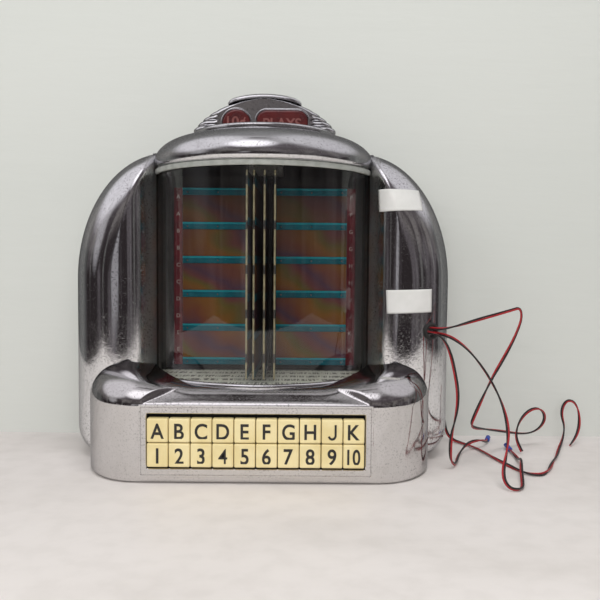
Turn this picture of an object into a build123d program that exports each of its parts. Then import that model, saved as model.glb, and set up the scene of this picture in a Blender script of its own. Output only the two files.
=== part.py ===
from build123d import *
import os
from math import asin, cos, degrees, pi, radians, sin, sqrt, tan

# Wall box selector. Millimetres, +Z up, front towards -Y. Depths run forward from the back face,
# and the origin lies under the middle of the body, on the surface that it stands on.

# ---------------------------------------------------------------- sizes
# body casting
body_half_width = 152.5
body_depth = 90.0
body_edge_roll = 38.0
body_foot_corner = 25.0
body_foot_lift = 9.0
shoulder_centre_x = 79.0
shoulder_centre_z = 143.0
shoulder_rise = 104.0
casting_wall = 3.0
back_plate_thickness = 2.0
pillar_roll = 25.0

# lower box of the casting, which carries the keys
box_half_width = 131.0
box_front_depth = 144.5
box_back_depth = 60.0
box_corner_x = 45.0
box_corner_depth = 55.0
box_top = 80.0
box_top_roll = 25.0
box_foot_roll = 8.0
shelf_front_z = 57.0
shelf_back_z = 66.5
shelf_run = 13.5
shelf_half_width = 88.0
shelf_taper = 20.0

# window
glass_radius = 89.0
glass_thickness = 2.5
window_axis_depth = 39.5
window_half_width = 86.3
window_floor_z = 65.0
trim_thickness = 2.2
trim_height = 4.0
side_clearance = 0.3

# hood, page dial and coin head
hood_underside_z = 232.0
hood_radius = 91.0
hood_axis_depth = 43.5
hood_roll_radial = 34.0
hood_roll_start_z = 236.0
hood_top_z = 259.0
hood_wall = 2.5
collar_radius = 49.8
collar_wall = 3.5
collar_height = 6.0
dial_radius = 60.0
dial_half_arc = 75.0
dial_clearance = 0.3
crest_half_width = 62.0
crest_centre_z = 245.0
crest_rise = 48.5
crest_back_depth = 8.0
crest_front_depth = 50.0
crest_wall = 3.0
crest_base_gap = 0.3
pedestal_half_width = 40.0
pedestal_back_depth = 20.0
flute_pitch = 4.3
flute_count = 5
flute_height = 1.6
flute_cut = 1.2
flute_inner_x = 45.0
flute_first_z = 268.0
cap_half_width = 28.0
cap_height = 3.5
cap_groove = 0.8
coin_slot_length = 25.5
coin_slot_width = 2.4
round_lens_x = -23.0
round_lens_radius = 11.3
long_lens_x = 14.7
long_lens_width = 41.9
long_lens_height = 21.6
long_lens_corner = 8.5
lens_centre_z = 272.4
lens_proud = 2.0
lens_flange = 1.2
lens_flange_thickness = 1.6
lens_clearance = 0.1

# keys
key_width = 14.9
key_height = 17.0
key_pitch_x = 15.4
key_pitch_z = 17.6
key_columns = 10
key_field_z = 31.0
key_cap_depth = 6.5
key_proud = 3.0
key_travel = 4.0
key_edge = 1.2
stem_width = 5.0
stem_height = 8.0
stem_collar = 2.0
stem_collar_length = 2.5
stem_tail = 6.0
stem_clearance = 0.3
bezel_half_width = 83.5
bezel_half_height = 26.0
bezel_thickness = 1.5
bezel_groove = 0.6
opening_margin_x = 0.6
opening_margin_z = 2.05
tray_flange = 3.0
tray_floor = 2.0
tray_gap = 2.5
board_gap = 0.6
board_thickness = 1.6
contact_radius = 1.6
contact_length = 3.0
post_radius = 2.5

# title pages
frame_depth = 24.0
frame_thickness = 2.0
panel_depth = 32.0
panel_thickness = 3.0
panel_inner_x = 10.0
panel_outer_x = 77.0
panel_bottom_z = 70.5
panel_bars = 6
bar_pitch = 28.9
bar_height = 6.0
bar_thickness = 1.2
card_thickness = 0.5
index_width = 7.0
leaf_pitch = 5.0
leaf_reach = 78.0
leaf_thickness = 1.5
leaf_bottom_z = 71.0
leaf_top_z = 226.0
leaf_barrel_radius = 1.3
leaf_pin_radius = 0.9
leaf_pin_length = 3.0
leaf_tilts = (-1.3, -1.1, 1.0, 3.0)
pin_clearance = 0.08
end_clearance = 0.3
hinge_reach = 7.0
hinge_plate = 3.5
card_floor_height = 3.0
card_floor_back_depth = 50.0

# fixings, cable outlets and leads
boss_radius = 5.0
screw_radius = 1.6
screw_head_radius = 3.4
screw_length = 12.0
boss_inset = 37.5
boss_low_z = 34.0
boss_high_z = 176.0
wall_hole_radius = 2.6
wall_spacing_x = 200.0
wall_spacing_z = 150.0
wall_pattern_z = 110.0
grommet_z = 105.0
grommet_angle = 60.0
grommet_neck_radius = 6.8
grommet_flange_radius = 9.0
grommet_flange = 2.5
grommet_hole_radius = 4.5
side_outlet_depth = 12.0
side_outlet_z = 34.0
side_outlet_radius = 4.0
side_outlet_bore = 2.3
lead_diameter = 2.8
crimp_length = 14.0
crimp_radius = 2.2

# works inside
chute_width = 30.0
chute_thickness = 12.0
chute_wall = 1.5
chute_depth = 8.0
chute_bottom_z = 96.0
motor_radius = 16.0
motor_length = 32.0
bank_radius = 24.0
bank_thickness = 12.0
coil_width = 30.0
coil_height = 24.0
coil_depth = 26.0
works_z = 32.0
works_side_x = 62.0
strip_height = 50.0
strip_width = 18.0
strip_thickness = 8.0
strip_z = 76.0
strip_ways = 6
lamp_radius = 4.0
lamp_length = 12.0
tube_lamp_radius = 5.0
tube_lamp_half = 45.0
tube_lamp_depth = 100.0
tube_lamp_drop = 12.0

# ---------------------------------------------------------------- worked out
front_depth = box_front_depth + bezel_thickness
overall_depth = front_depth + key_proud
back_y = overall_depth / 2
sight_radius = glass_radius + side_clearance
trim_radius = sight_radius + trim_thickness
well_radius = trim_radius + side_clearance
glass_half_arc = degrees(asin((window_half_width - side_clearance) / glass_radius))
dial_bottom_z = hood_top_z + dial_clearance
collar_top_z = hood_top_z + collar_height
dial_height = collar_height - 2 * dial_clearance
crest_base_z = collar_top_z + crest_base_gap
shelf_slope = (shelf_back_z - shelf_front_z) / shelf_run
tray_back_depth = front_depth + key_proud - key_cap_depth - key_travel - tray_gap
inner_front_depth = box_front_depth - casting_wall
opening_half_width = key_pitch_x * key_columns / 2 + opening_margin_x
opening_half_height = key_pitch_z + opening_margin_z

parts = {}


def facing(depth):
    """The plane that faces the front at a depth, with x to the right and y up."""
    return Plane.XZ.offset(depth - back_y)


def level(height):
    """The plan plane at a height: its y is minus the depth."""
    return Plane(origin=(0, back_y, height))


def side(x=0.0):
    """The plane across the body at x: its x is minus the depth, and its y is up."""
    return Plane(origin=(x, back_y, 0), x_dir=(0, 1, 0), z_dir=(1, 0, 0))


def keep(piece, name):
    piece.part.label = name
    export_step(piece.part, f"parts/{name}.step")
    parts[name] = piece.part


def body_outline(depth, inset, lift, corner):
    """The body's front outline: feet with round corners, straight flanks and elliptic shoulders."""
    half = body_half_width - inset
    across = half - shoulder_centre_x
    rise = shoulder_rise - inset
    top = shoulder_centre_z + rise
    foot = half - corner
    with BuildSketch(facing(depth)) as outline:
        with BuildLine():
            Line((-foot, lift), (foot, lift))
            CenterArc((foot, lift + corner), corner, -90, 90)
            Line((half, lift + corner), (half, shoulder_centre_z))
            EllipticalCenterArc((shoulder_centre_x, shoulder_centre_z), across, rise, 0)
            Line((shoulder_centre_x, top), (-shoulder_centre_x, top))
            EllipticalCenterArc((-shoulder_centre_x, shoulder_centre_z), across, rise, 90)
            Line((-half, shoulder_centre_z), (-half, lift + corner))
            CenterArc((-foot, lift + corner), corner, 180, 90)
        make_face()
    return outline.sketch


def pillow(skin):
    """The body as a solid whose front edge is rolled, set in by a skin all round."""
    roll = body_edge_roll - skin
    straight = body_depth - body_edge_roll
    with BuildPart() as solid:
        outline = body_outline(back_plate_thickness, skin, skin, body_foot_corner - skin)
        extrude(outline, amount=straight - back_plate_thickness)
    with BuildPart() as rolled:
        for step in range(5):
            turn = radians(22.5 * step)
            drawn_in = roll * (1 - cos(turn))
            share = drawn_in / roll
            lift = skin + body_foot_lift * share
            corner = body_foot_corner * (1 - 0.7 * share) - skin
            add(body_outline(straight + roll * sin(turn), skin + drawn_in, lift, corner))
        loft(ruled=True)
    return solid.part + rolled.part


def lower_box(skin):
    """The key box as a solid with elliptic plan corners, a rolled top edge and a rolled foot."""
    half = box_half_width - skin
    front = box_front_depth - skin
    corner_x = box_corner_x - skin
    corner_depth = box_corner_depth - skin
    turn_depth = front - corner_depth
    with BuildPart() as solid:
        with BuildSketch(level(skin)):
            with BuildLine():
                Line((-half, -box_back_depth), (half, -box_back_depth))
                Line((half, -box_back_depth), (half, -turn_depth))
                EllipticalCenterArc((half - corner_x, -turn_depth), corner_x, corner_depth, -90)
                Line((half - corner_x, -front), (corner_x - half, -front))
                EllipticalCenterArc((corner_x - half, -turn_depth), corner_x, corner_depth, 180)
                Line((-half, -turn_depth), (-half, -box_back_depth))
            make_face()
        extrude(amount=box_top - 2 * skin)
        back_face_y = back_y - box_back_depth
        top_edges = solid.faces().sort_by(Axis.Z)[-1].edges()
        fillet([e for e in top_edges if e.center().Y < back_face_y - 0.1], box_top_roll - skin)
        foot_edges = solid.faces().sort_by(Axis.Z)[0].edges()
        fillet([e for e in foot_edges if e.center().Y < back_face_y - 0.1], box_foot_roll - skin)
    return solid.part


def window_well(grow, height):
    """The space of the window: straight between the pillars, round in front of them."""
    half = window_half_width + grow
    with BuildPart() as solid:
        with BuildSketch(level(window_floor_z - grow)):
            with Locations((0, -window_axis_depth)):
                Circle(well_radius + grow)
                Rectangle(2 * half, 2 * (well_radius + grow), mode=Mode.INTERSECT)
            with Locations((0, -window_axis_depth / 2)):
                Rectangle(2 * half, window_axis_depth)
        extrude(amount=height)
    return solid.part


def shelf_cut(skin):
    """What the sloping shelf in front of the window takes off the key box."""
    fall = skin * sqrt(1 + shelf_slope**2)
    reach = 3 * shelf_run
    start = shelf_front_z - fall - shelf_slope * (reach - shelf_run)
    end = shelf_front_z - fall + 2 * shelf_slope * reach
    with BuildPart() as wedge:
        with BuildSketch(side()):
            Polygon(
                (-box_front_depth - reach + shelf_run, start),
                (-box_front_depth + 2 * reach, end),
                (-box_front_depth - reach + shelf_run, end),
                align=None,
            )
        extrude(amount=body_half_width, both=True)
        with BuildSketch(level(0)):
            narrow = shelf_half_width - shelf_taper + skin
            wide = shelf_half_width + shelf_taper + skin
            back = box_front_depth - shelf_run
            deep = shelf_run + shelf_taper
            Polygon(
                (-wide, -back - 2 * shelf_run),
                (-narrow, -back),
                (-narrow + deep, -back + 2 * deep),
                (narrow - deep, -back + 2 * deep),
                (narrow, -back),
                (wide, -back - 2 * shelf_run),
                align=None,
            )
        extrude(amount=2 * body_half_width, mode=Mode.INTERSECT)
    return wedge.part


def pillar_roll_cut(skin):
    """What the inner roll of each pillar takes off above the key box."""
    roll = pillar_roll - skin
    near = window_half_width + skin
    front = body_depth - skin
    with BuildPart() as cut:
        with BuildSketch(level(box_top - skin)):
            with Locations((0, -(front - roll / 2))):
                Rectangle(2 * (near + roll), roll)
            with Locations((-near - roll, -(front - roll)), (near + roll, -(front - roll))):
                Circle(roll, mode=Mode.SUBTRACT)
        extrude(amount=2 * shoulder_rise)
    return cut.part


def casting_block(skin):
    """The whole casting as a solid, set in by a skin."""
    block = pillow(skin) + lower_box(skin)
    block -= window_well(skin, 3 * shoulder_rise)
    block -= shelf_cut(skin)
    return block - pillar_roll_cut(skin)


def hood_solid(skin, grow=0.0):
    """The hood as a solid of revolution with an elliptic roll."""
    radius = hood_radius - skin + grow
    top = hood_top_z - skin + grow
    flat = hood_radius - hood_roll_radial
    with BuildPart() as solid:
        with BuildSketch(facing(hood_axis_depth)):
            with BuildLine():
                Line((0, hood_underside_z - grow), (radius, hood_underside_z - grow))
                Line((radius, hood_underside_z - grow), (radius, hood_roll_start_z))
                EllipticalCenterArc((flat, hood_roll_start_z), radius - flat, top - hood_roll_start_z, 0)
                Line((flat, top), (0, top))
                Line((0, top), (0, hood_underside_z - grow))
            make_face()
        revolve(axis=Axis((0, back_y - hood_axis_depth, 0), (0, 0, 1)))
    return solid.part


def in_front_of(depth):
    """A large block that holds everything in front of a depth."""
    with BuildPart() as block:
        with BuildSketch(facing(depth)):
            with Locations((0, hood_underside_z)):
                Rectangle(4 * body_half_width, 4 * body_half_width)
        extrude(amount=2 * overall_depth)
    return block.part


def ring_sector(inner, outer, half_arc, bottom, height, axis_depth):
    """A standing ring sector that faces the front, about an upright axis."""
    with BuildPart() as sector:
        with BuildSketch(level(bottom)):
            with BuildLine():
                CenterArc((0, -axis_depth), outer, 270 - half_arc, 2 * half_arc)
                CenterArc((0, -axis_depth), inner, 270 - half_arc, 2 * half_arc)
                for hand in (-1, 1):
                    turn = radians(half_arc)
                    Line(
                        (hand * inner * sin(turn), -axis_depth - inner * cos(turn)),
                        (hand * outer * sin(turn), -axis_depth - outer * cos(turn)),
                    )
            make_face()
        extrude(amount=height)
    return sector


os.makedirs("parts", exist_ok=True)

# ---------------------------------------------------------------- casting and back plate
flank_axis = (body_half_width - body_edge_roll, body_depth - body_edge_roll)
grommet_way = Vector(cos(radians(grommet_angle)), -sin(radians(grommet_angle)), 0)


def flank_plane(distance):
    """A plane across the flank's outlet, at a distance from the axis of the edge roll."""
    origin = Vector(flank_axis[0], back_y - flank_axis[1], grommet_z) + grommet_way * distance
    return Plane(origin=origin, x_dir=(0, 0, 1), z_dir=grommet_way)


boss_x = body_half_width - boss_inset
boss_places = [(hand * boss_x, z) for hand in (-1, 1) for z in (boss_low_z, boss_high_z)]
with BuildPart() as front_housing:
    add(casting_block(0) - casting_block(casting_wall))
    with BuildSketch(facing(back_plate_thickness)):
        with Locations(*boss_places):
            Circle(boss_radius)
    extrude(amount=body_depth - casting_wall - side_clearance - back_plate_thickness)
    with BuildSketch(facing(back_plate_thickness)):
        for hand in (-1, 1):
            with Locations((hand * boss_x, (boss_low_z + casting_wall / 2) / 2)):
                Rectangle(casting_wall, boss_low_z - casting_wall / 2)
    extrude(amount=body_depth - body_edge_roll)
    with BuildSketch(facing(back_plate_thickness)):
        with Locations(*boss_places):
            Circle(screw_radius + pin_clearance)
    extrude(amount=screw_length + end_clearance, mode=Mode.SUBTRACT)
    add(hood_solid(0, side_clearance), mode=Mode.SUBTRACT)
    with BuildSketch(facing(inner_front_depth - casting_wall)):
        with Locations((0, key_field_z)):
            Rectangle(2 * opening_half_width, 2 * opening_half_height)
    extrude(amount=3 * casting_wall, mode=Mode.SUBTRACT)
    with BuildSketch(flank_plane(body_edge_roll - 3 * casting_wall)):
        Circle(grommet_neck_radius + side_clearance)
    extrude(amount=6 * casting_wall, mode=Mode.SUBTRACT)
    with BuildSketch(Plane.YZ.offset(body_half_width - 2 * casting_wall)):
        with Locations((back_y - side_outlet_depth, side_outlet_z)):
            Circle(side_outlet_radius + side_clearance)
    extrude(amount=3 * casting_wall, mode=Mode.SUBTRACT)
keep(front_housing, "front_housing")

with BuildPart() as back_plate:
    extrude(body_outline(0, 0, 0, body_foot_corner), amount=back_plate_thickness)
    with BuildSketch(facing(0)):
        with Locations(*boss_places):
            Circle(screw_radius + pin_clearance)
        for hand in (-1, 1):
            for drop in (-1, 1):
                with Locations((hand * wall_spacing_x / 2, wall_pattern_z + drop * wall_spacing_z / 2)):
                    Circle(wall_hole_radius)
    extrude(amount=back_plate_thickness, mode=Mode.SUBTRACT)
    with BuildSketch(facing(0)):
        with Locations(*boss_places):
            Circle(screw_head_radius + pin_clearance)
    extrude(amount=back_plate_thickness / 2 + pin_clearance, mode=Mode.SUBTRACT)
keep(back_plate, "back_plate")

with BuildPart() as housing_screws:
    with BuildSketch(facing(0)):
        with Locations(*boss_places):
            Circle(screw_head_radius)
    extrude(amount=back_plate_thickness / 2)
    with BuildSketch(facing(0)):
        with Locations(*boss_places):
            Circle(screw_radius)
    extrude(amount=back_plate_thickness + screw_length)
keep(housing_screws, "housing_screws")

# ---------------------------------------------------------------- hood, page dial and coin head
hood_cavity = hood_solid(hood_wall) & in_front_of(back_plate_thickness + hood_wall)
chute_centre = (0, -(chute_depth + chute_thickness / 2))
with BuildPart() as hood:
    add((hood_solid(0) & in_front_of(back_plate_thickness)) - hood_cavity)
    with BuildSketch(level(hood_top_z)):
        with Locations((0, -window_axis_depth)):
            Circle(collar_radius)
            Circle(collar_radius - collar_wall, mode=Mode.SUBTRACT)
        with Locations((0, -back_plate_thickness - overall_depth / 2)):
            Rectangle(2 * body_half_width, overall_depth, mode=Mode.INTERSECT)
    extrude(amount=collar_height)
    with BuildSketch(level(hood_top_z - 2 * hood_wall)):
        with Locations(chute_centre):
            Rectangle(chute_width + 2 * side_clearance, chute_thickness + 2 * side_clearance)
    extrude(amount=3 * hood_wall, mode=Mode.SUBTRACT)
keep(hood, "hood")

page_dial = ring_sector(
    collar_radius + dial_clearance, dial_radius, dial_half_arc, dial_bottom_z, dial_height, window_axis_depth
)
with page_dial:
    rim = page_dial.edges().filter_by(GeomType.CIRCLE).sort_by(Axis.Y)[:2]
    fillet(rim, dial_height / 2 - dial_clearance)
keep(page_dial, "page_dial")


def crest_face(grow, depth):
    """The crest's front outline, grown by a skin and cut level at its base."""
    with BuildSketch(facing(depth)) as outline:
        with Locations((0, crest_centre_z)):
            Ellipse(crest_half_width + grow, crest_rise + grow)
        with Locations((0, crest_base_z + crest_rise)):
            Rectangle(3 * crest_half_width, 2 * crest_rise, mode=Mode.INTERSECT)
    return outline.sketch


def lens_outlines(grow, depth):
    """The two lens outlines in the crest's face, grown by a margin."""
    with BuildSketch(facing(depth)) as outline:
        with Locations((round_lens_x, lens_centre_z)):
            Circle(round_lens_radius + grow)
        with Locations((long_lens_x, lens_centre_z)):
            RectangleRounded(
                long_lens_width + 2 * grow, long_lens_height + 2 * grow, long_lens_corner + grow
            )
    return outline.sketch


crest_depth = crest_front_depth - crest_back_depth
slot_depth = (crest_front_depth + crest_back_depth) / 2
pedestal_middle = (0, -(pedestal_back_depth + crest_front_depth) / 2)
pedestal_run = crest_front_depth - pedestal_back_depth
with BuildPart() as coin_head:
    extrude(crest_face(0, crest_back_depth), amount=crest_depth)
    extrude(
        crest_face(-crest_wall, crest_back_depth + crest_wall),
        amount=crest_depth - 2 * crest_wall,
        mode=Mode.SUBTRACT,
    )
    with BuildSketch(level(hood_top_z)):
        with Locations(pedestal_middle):
            Rectangle(2 * pedestal_half_width, pedestal_run)
            Rectangle(
                2 * (pedestal_half_width - crest_wall), pedestal_run - 2 * crest_wall, mode=Mode.SUBTRACT
            )
    extrude(amount=crest_base_z - hood_top_z)
    extrude(
        lens_outlines(lens_clearance, crest_front_depth - 2 * crest_wall),
        amount=3 * crest_wall,
        mode=Mode.SUBTRACT,
    )
    with BuildSketch(level(crest_centre_z + crest_rise - 2 * crest_wall)):
        with Locations((0, -slot_depth)):
            Rectangle(coin_slot_length, coin_slot_width)
    extrude(amount=3 * crest_wall, mode=Mode.SUBTRACT)
    for flute in range(flute_count):
        flute_z = flute_first_z + flute * flute_pitch
        rise = (flute_z - crest_centre_z) / crest_rise
        flank = crest_half_width * sqrt(1 - rise * rise)
        with BuildSketch(facing(crest_front_depth - flute_cut)):
            for hand in (-1, 1):
                with Locations((hand * (flute_inner_x - flute * 2 + crest_half_width / 2), flute_z)):
                    Rectangle(crest_half_width, flute_height)
        extrude(amount=2 * flute_cut, mode=Mode.SUBTRACT)
        with BuildSketch(level(flute_z - flute_height / 2)):
            for hand in (-1, 1):
                with Locations((hand * (flank + crest_half_width / 2 - flute_cut), -slot_depth)):
                    Rectangle(crest_half_width, 2 * crest_depth)
        extrude(amount=flute_height, mode=Mode.SUBTRACT)
keep(coin_head, "coin_head")

with BuildPart() as coin_entry_cap:
    extrude(crest_face(cap_height, crest_back_depth), amount=crest_depth + lens_proud)
    extrude(crest_face(lens_clearance, 0), amount=2 * overall_depth, mode=Mode.SUBTRACT)
    with BuildSketch(level(crest_base_z)):
        with Locations((0, -slot_depth)):
            Rectangle(2 * cap_half_width, 4 * crest_depth)
            Rectangle(coin_slot_length, coin_slot_width, mode=Mode.SUBTRACT)
    extrude(amount=3 * crest_rise, mode=Mode.INTERSECT)
keep(coin_entry_cap, "coin_entry_cap")

lens_seat = crest_front_depth - crest_wall
for lens_name, side_sort in (("round_red_lens", 0), ("long_red_lens", 1)):
    with BuildPart() as lens:
        flange = lens_outlines(lens_flange, lens_seat - lens_flange_thickness).faces().sort_by(Axis.X)
        extrude(flange[side_sort], amount=lens_flange_thickness)
        body = lens_outlines(0, lens_seat).faces().sort_by(Axis.X)
        extrude(body[side_sort], amount=crest_wall + lens_proud)
        fillet(lens.edges().sort_by(Axis.Y)[0 : 1 + 7 * side_sort], lens_proud / 2)
    keep(lens, lens_name)

# ---------------------------------------------------------------- window
trim_half_arc = degrees(asin((window_half_width - side_clearance) / trim_radius))
glass_height = hood_underside_z + hood_wall - window_floor_z
window_glass = ring_sector(
    glass_radius - glass_thickness, glass_radius, glass_half_arc, window_floor_z, glass_height, window_axis_depth
)
keep(window_glass, "window_glass")
with BuildPart() as window_trims:
    for trim_z in (hood_underside_z - trim_height, window_floor_z):
        trim = ring_sector(
            sight_radius, trim_radius, trim_half_arc, trim_z, trim_height, window_axis_depth
        )
        add(trim.part)
keep(window_trims, "window_trims")

with BuildPart() as floor_card:
    with BuildSketch(level(window_floor_z)):
        with Locations((0, -window_axis_depth)):
            Circle(glass_radius - glass_thickness - side_clearance)
        with Locations((0, -card_floor_back_depth - glass_radius)):
            Rectangle(2 * glass_radius, 2 * glass_radius, mode=Mode.INTERSECT)
    extrude(amount=card_floor_height)
keep(floor_card, "floor_card")

# ---------------------------------------------------------------- title pages
frame_top_z = hood_underside_z - side_clearance
hinge_half_width = panel_inner_x - side_clearance
frame_front = frame_depth + frame_thickness
with BuildPart() as page_frame:
    with BuildSketch(facing(frame_depth)):
        with Locations((0, (window_floor_z + frame_top_z) / 2)):
            Rectangle(2 * (window_half_width - side_clearance), frame_top_z - window_floor_z)
    extrude(amount=frame_thickness)
keep(page_frame, "page_frame")

pin_places = [((n - 1.5) * leaf_pitch, -window_axis_depth) for n in range(4)]
hinge_front = window_axis_depth + hinge_reach
socket = leaf_pin_length + end_clearance
foot_top_z = leaf_bottom_z - end_clearance
head_bottom_z = leaf_top_z + end_clearance
hinge_blocks = (
    (window_floor_z, foot_top_z - window_floor_z, foot_top_z - socket),
    (head_bottom_z, hinge_plate, head_bottom_z),
)
with BuildPart() as leaf_hinges:
    for low, height, socket_z in hinge_blocks:
        with BuildSketch(level(low)):
            with Locations((0, -(frame_front + hinge_front) / 2)):
                Rectangle(2 * hinge_half_width, hinge_front - frame_front)
        extrude(amount=height)
        with BuildSketch(level(socket_z)):
            with Locations(*pin_places):
                Circle(leaf_pin_radius + pin_clearance)
        extrude(amount=socket, mode=Mode.SUBTRACT)
keep(leaf_hinges, "leaf_hinges")

for number, tilt in enumerate(leaf_tilts, start=1):
    pin_x = (number - 2.5) * leaf_pitch
    out = Vector(sin(radians(tilt)), -cos(radians(tilt)), 0)
    for_leaf = Plane(
        origin=(pin_x, back_y - window_axis_depth, leaf_bottom_z), x_dir=out, z_dir=(0, 0, 1)
    )
    with BuildPart() as leaf:
        with BuildSketch(for_leaf):
            Circle(leaf_barrel_radius)
            with Locations((leaf_reach / 2, 0)):
                Rectangle(leaf_reach, leaf_thickness)
        extrude(amount=leaf_top_z - leaf_bottom_z)
        with BuildSketch(for_leaf.offset(-leaf_pin_length)):
            Circle(leaf_pin_radius)
        extrude(amount=leaf_top_z - leaf_bottom_z + 2 * leaf_pin_length)
    keep(leaf, f"leaf_{number}")

panel_front = panel_depth + panel_thickness
panel_height = (panel_bars - 1) * bar_pitch + bar_height
panel_middle_z = panel_bottom_z + panel_height / 2
card_inner_x = panel_outer_x - index_width - side_clearance
card_middle_x = (panel_inner_x + card_inner_x) / 2
card_width = card_inner_x - panel_inner_x
field_height = bar_pitch - bar_height - 2 * side_clearance
hands = (-1, 1)
bar_heights = [panel_bottom_z + bar_height / 2 + bar * bar_pitch for bar in range(panel_bars)]
field_rise = bar_height / 2 + side_clearance + field_height / 2
field_places = [(hand * card_middle_x, z + field_rise) for hand in hands for z in bar_heights[:-1]]
with BuildPart() as title_panels:
    with BuildSketch(facing(panel_depth)):
        for hand in hands:
            with Locations((hand * (panel_inner_x + panel_outer_x) / 2, panel_middle_z)):
                Rectangle(panel_outer_x - panel_inner_x, panel_height)
    extrude(amount=panel_thickness)
    with BuildSketch(facing(frame_front)):
        for hand in hands:
            with Locations((hand * card_middle_x, panel_middle_z)):
                with GridLocations(card_width - 4 * post_radius, panel_height * 2 / 3, 2, 2):
                    Circle(post_radius)
    extrude(amount=panel_depth - frame_front)
keep(title_panels, "title_panels")

with BuildPart() as title_bars:
    with BuildSketch(facing(panel_front)):
        with Locations(*[(hand * card_middle_x, z) for hand in hands for z in bar_heights]):
            Rectangle(card_width, bar_height)
    extrude(amount=bar_thickness)
keep(title_bars, "title_bars")

with BuildPart() as title_cards:
    with BuildSketch(facing(panel_front)):
        with Locations(*field_places):
            Rectangle(card_width, field_height)
    extrude(amount=card_thickness)
keep(title_cards, "title_cards")

with BuildPart() as index_strips:
    with BuildSketch(facing(panel_front)):
        with Locations(*[(hand * (panel_outer_x - index_width / 2), panel_middle_z) for hand in hands]):
            Rectangle(index_width, panel_height)
    extrude(amount=card_thickness)
keep(index_strips, "index_strips")

# ---------------------------------------------------------------- keys
with BuildPart() as key_bezel:
    with BuildSketch(facing(box_front_depth)):
        with Locations((0, key_field_z)):
            Rectangle(2 * bezel_half_width, 2 * bezel_half_height)
            Rectangle(2 * opening_half_width, 2 * opening_half_height, mode=Mode.SUBTRACT)
    extrude(amount=bezel_thickness)
keep(key_bezel, "key_bezel")

tray_back = tray_back_depth - tray_floor
key_names = [*"abcdefghjk", *[str(n) for n in range(1, 11)]]
key_places = [
    (
        (column - (key_columns - 1) / 2) * key_pitch_x,
        key_field_z + (0.5 - row) * key_pitch_z,
    )
    for row in (0, 1)
    for column in range(key_columns)
]
tray_half_width = opening_half_width + tray_flange
tray_half_height = opening_half_height + tray_flange
with BuildPart() as key_tray:
    with BuildSketch(facing(tray_back)):
        with Locations((0, key_field_z)):
            Rectangle(2 * tray_half_width, 2 * tray_half_height)
    extrude(amount=inner_front_depth - tray_back)
    with BuildSketch(facing(tray_back_depth)):
        with Locations((0, key_field_z)):
            Rectangle(2 * opening_half_width, 2 * opening_half_height)
    extrude(amount=inner_front_depth - tray_back_depth, mode=Mode.SUBTRACT)
    with BuildSketch(facing(tray_back)):
        with Locations(*key_places):
            Rectangle(stem_width + 2 * stem_clearance, stem_height + 2 * stem_clearance)
    extrude(amount=tray_floor, mode=Mode.SUBTRACT)
keep(key_tray, "key_tray")

key_face = front_depth + key_proud
key_back = key_face - key_cap_depth
stem_end = tray_back - stem_tail
collar_face = tray_back - stem_clearance
for key_name, place in zip(key_names, key_places):
    with BuildPart() as key:
        with BuildSketch(facing(key_back)):
            with Locations(place):
                RectangleRounded(key_width, key_height, key_edge)
        extrude(amount=key_cap_depth)
        fillet(key.faces().sort_by(Axis.Y)[0].edges(), key_edge / 2)
        with BuildSketch(facing(stem_end)):
            with Locations(place):
                Rectangle(stem_width, stem_height)
        extrude(amount=key_back - stem_end)
        with BuildSketch(facing(collar_face - stem_collar_length)):
            with Locations(place):
                Rectangle(stem_width + 2 * stem_collar, stem_height + 2 * stem_collar)
        extrude(amount=stem_collar_length)
    keep(key, f"key_{key_name}")

contact_front = stem_end - key_travel - board_gap
board_front = contact_front - contact_length
with BuildPart() as key_switch_board:
    with BuildSketch(facing(board_front - board_thickness)):
        with Locations((0, key_field_z)):
            Rectangle(2 * tray_half_width, 2 * opening_half_height)
    extrude(amount=board_thickness)
    with BuildSketch(facing(board_front)):
        with Locations(*key_places):
            Circle(contact_radius)
    extrude(amount=contact_length)
    with BuildSketch(facing(board_front)):
        for hand in (-1, 1):
            for lift in (-1, 1):
                with Locations((hand * (tray_half_width - post_radius), key_field_z + lift * key_pitch_z)):
                    Circle(post_radius)
    extrude(amount=tray_back - board_front)
keep(key_switch_board, "key_switch_board")

# ---------------------------------------------------------------- works behind the plates
chute_top_z = crest_base_z - 2 * crest_base_gap - dial_clearance
with BuildPart() as coin_chute:
    with BuildSketch(level(chute_bottom_z)):
        with Locations(chute_centre):
            Rectangle(chute_width, chute_thickness)
            Rectangle(chute_width - 2 * chute_wall, chute_thickness - 2 * chute_wall, mode=Mode.SUBTRACT)
    extrude(amount=chute_top_z - chute_bottom_z)
    with BuildSketch(facing(chute_depth + chute_thickness)):
        for lift in (panel_middle_z - panel_height / 3, panel_middle_z + panel_height / 3):
            with Locations((0, lift)):
                Rectangle(chute_width, chute_thickness)
    extrude(amount=frame_depth - chute_depth - chute_thickness)
keep(coin_chute, "coin_chute")

switch_x = chute_width / 2 + chute_thickness
with BuildPart() as coin_switch:
    with BuildSketch(facing(chute_depth + chute_wall)):
        with Locations((switch_x, panel_middle_z)):
            Rectangle(chute_thickness, chute_width)
    extrude(amount=frame_depth - chute_depth - chute_wall)
    with BuildSketch(facing(chute_depth + 2 * chute_wall)):
        with Locations((chute_width / 2 + chute_thickness / 4 + side_clearance, panel_middle_z)):
            Rectangle(chute_thickness / 2, chute_wall)
    extrude(amount=chute_wall)
keep(coin_switch, "coin_switch")

with BuildPart() as drive_motor:
    with BuildSketch(facing(back_plate_thickness)):
        with Locations((0, works_z)):
            Circle(motor_radius)
    extrude(amount=motor_length)
    with BuildSketch(facing(back_plate_thickness + motor_length)):
        with Locations((0, works_z)):
            Circle(post_radius)
    extrude(amount=motor_radius / 2)
keep(drive_motor, "drive_motor")

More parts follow.
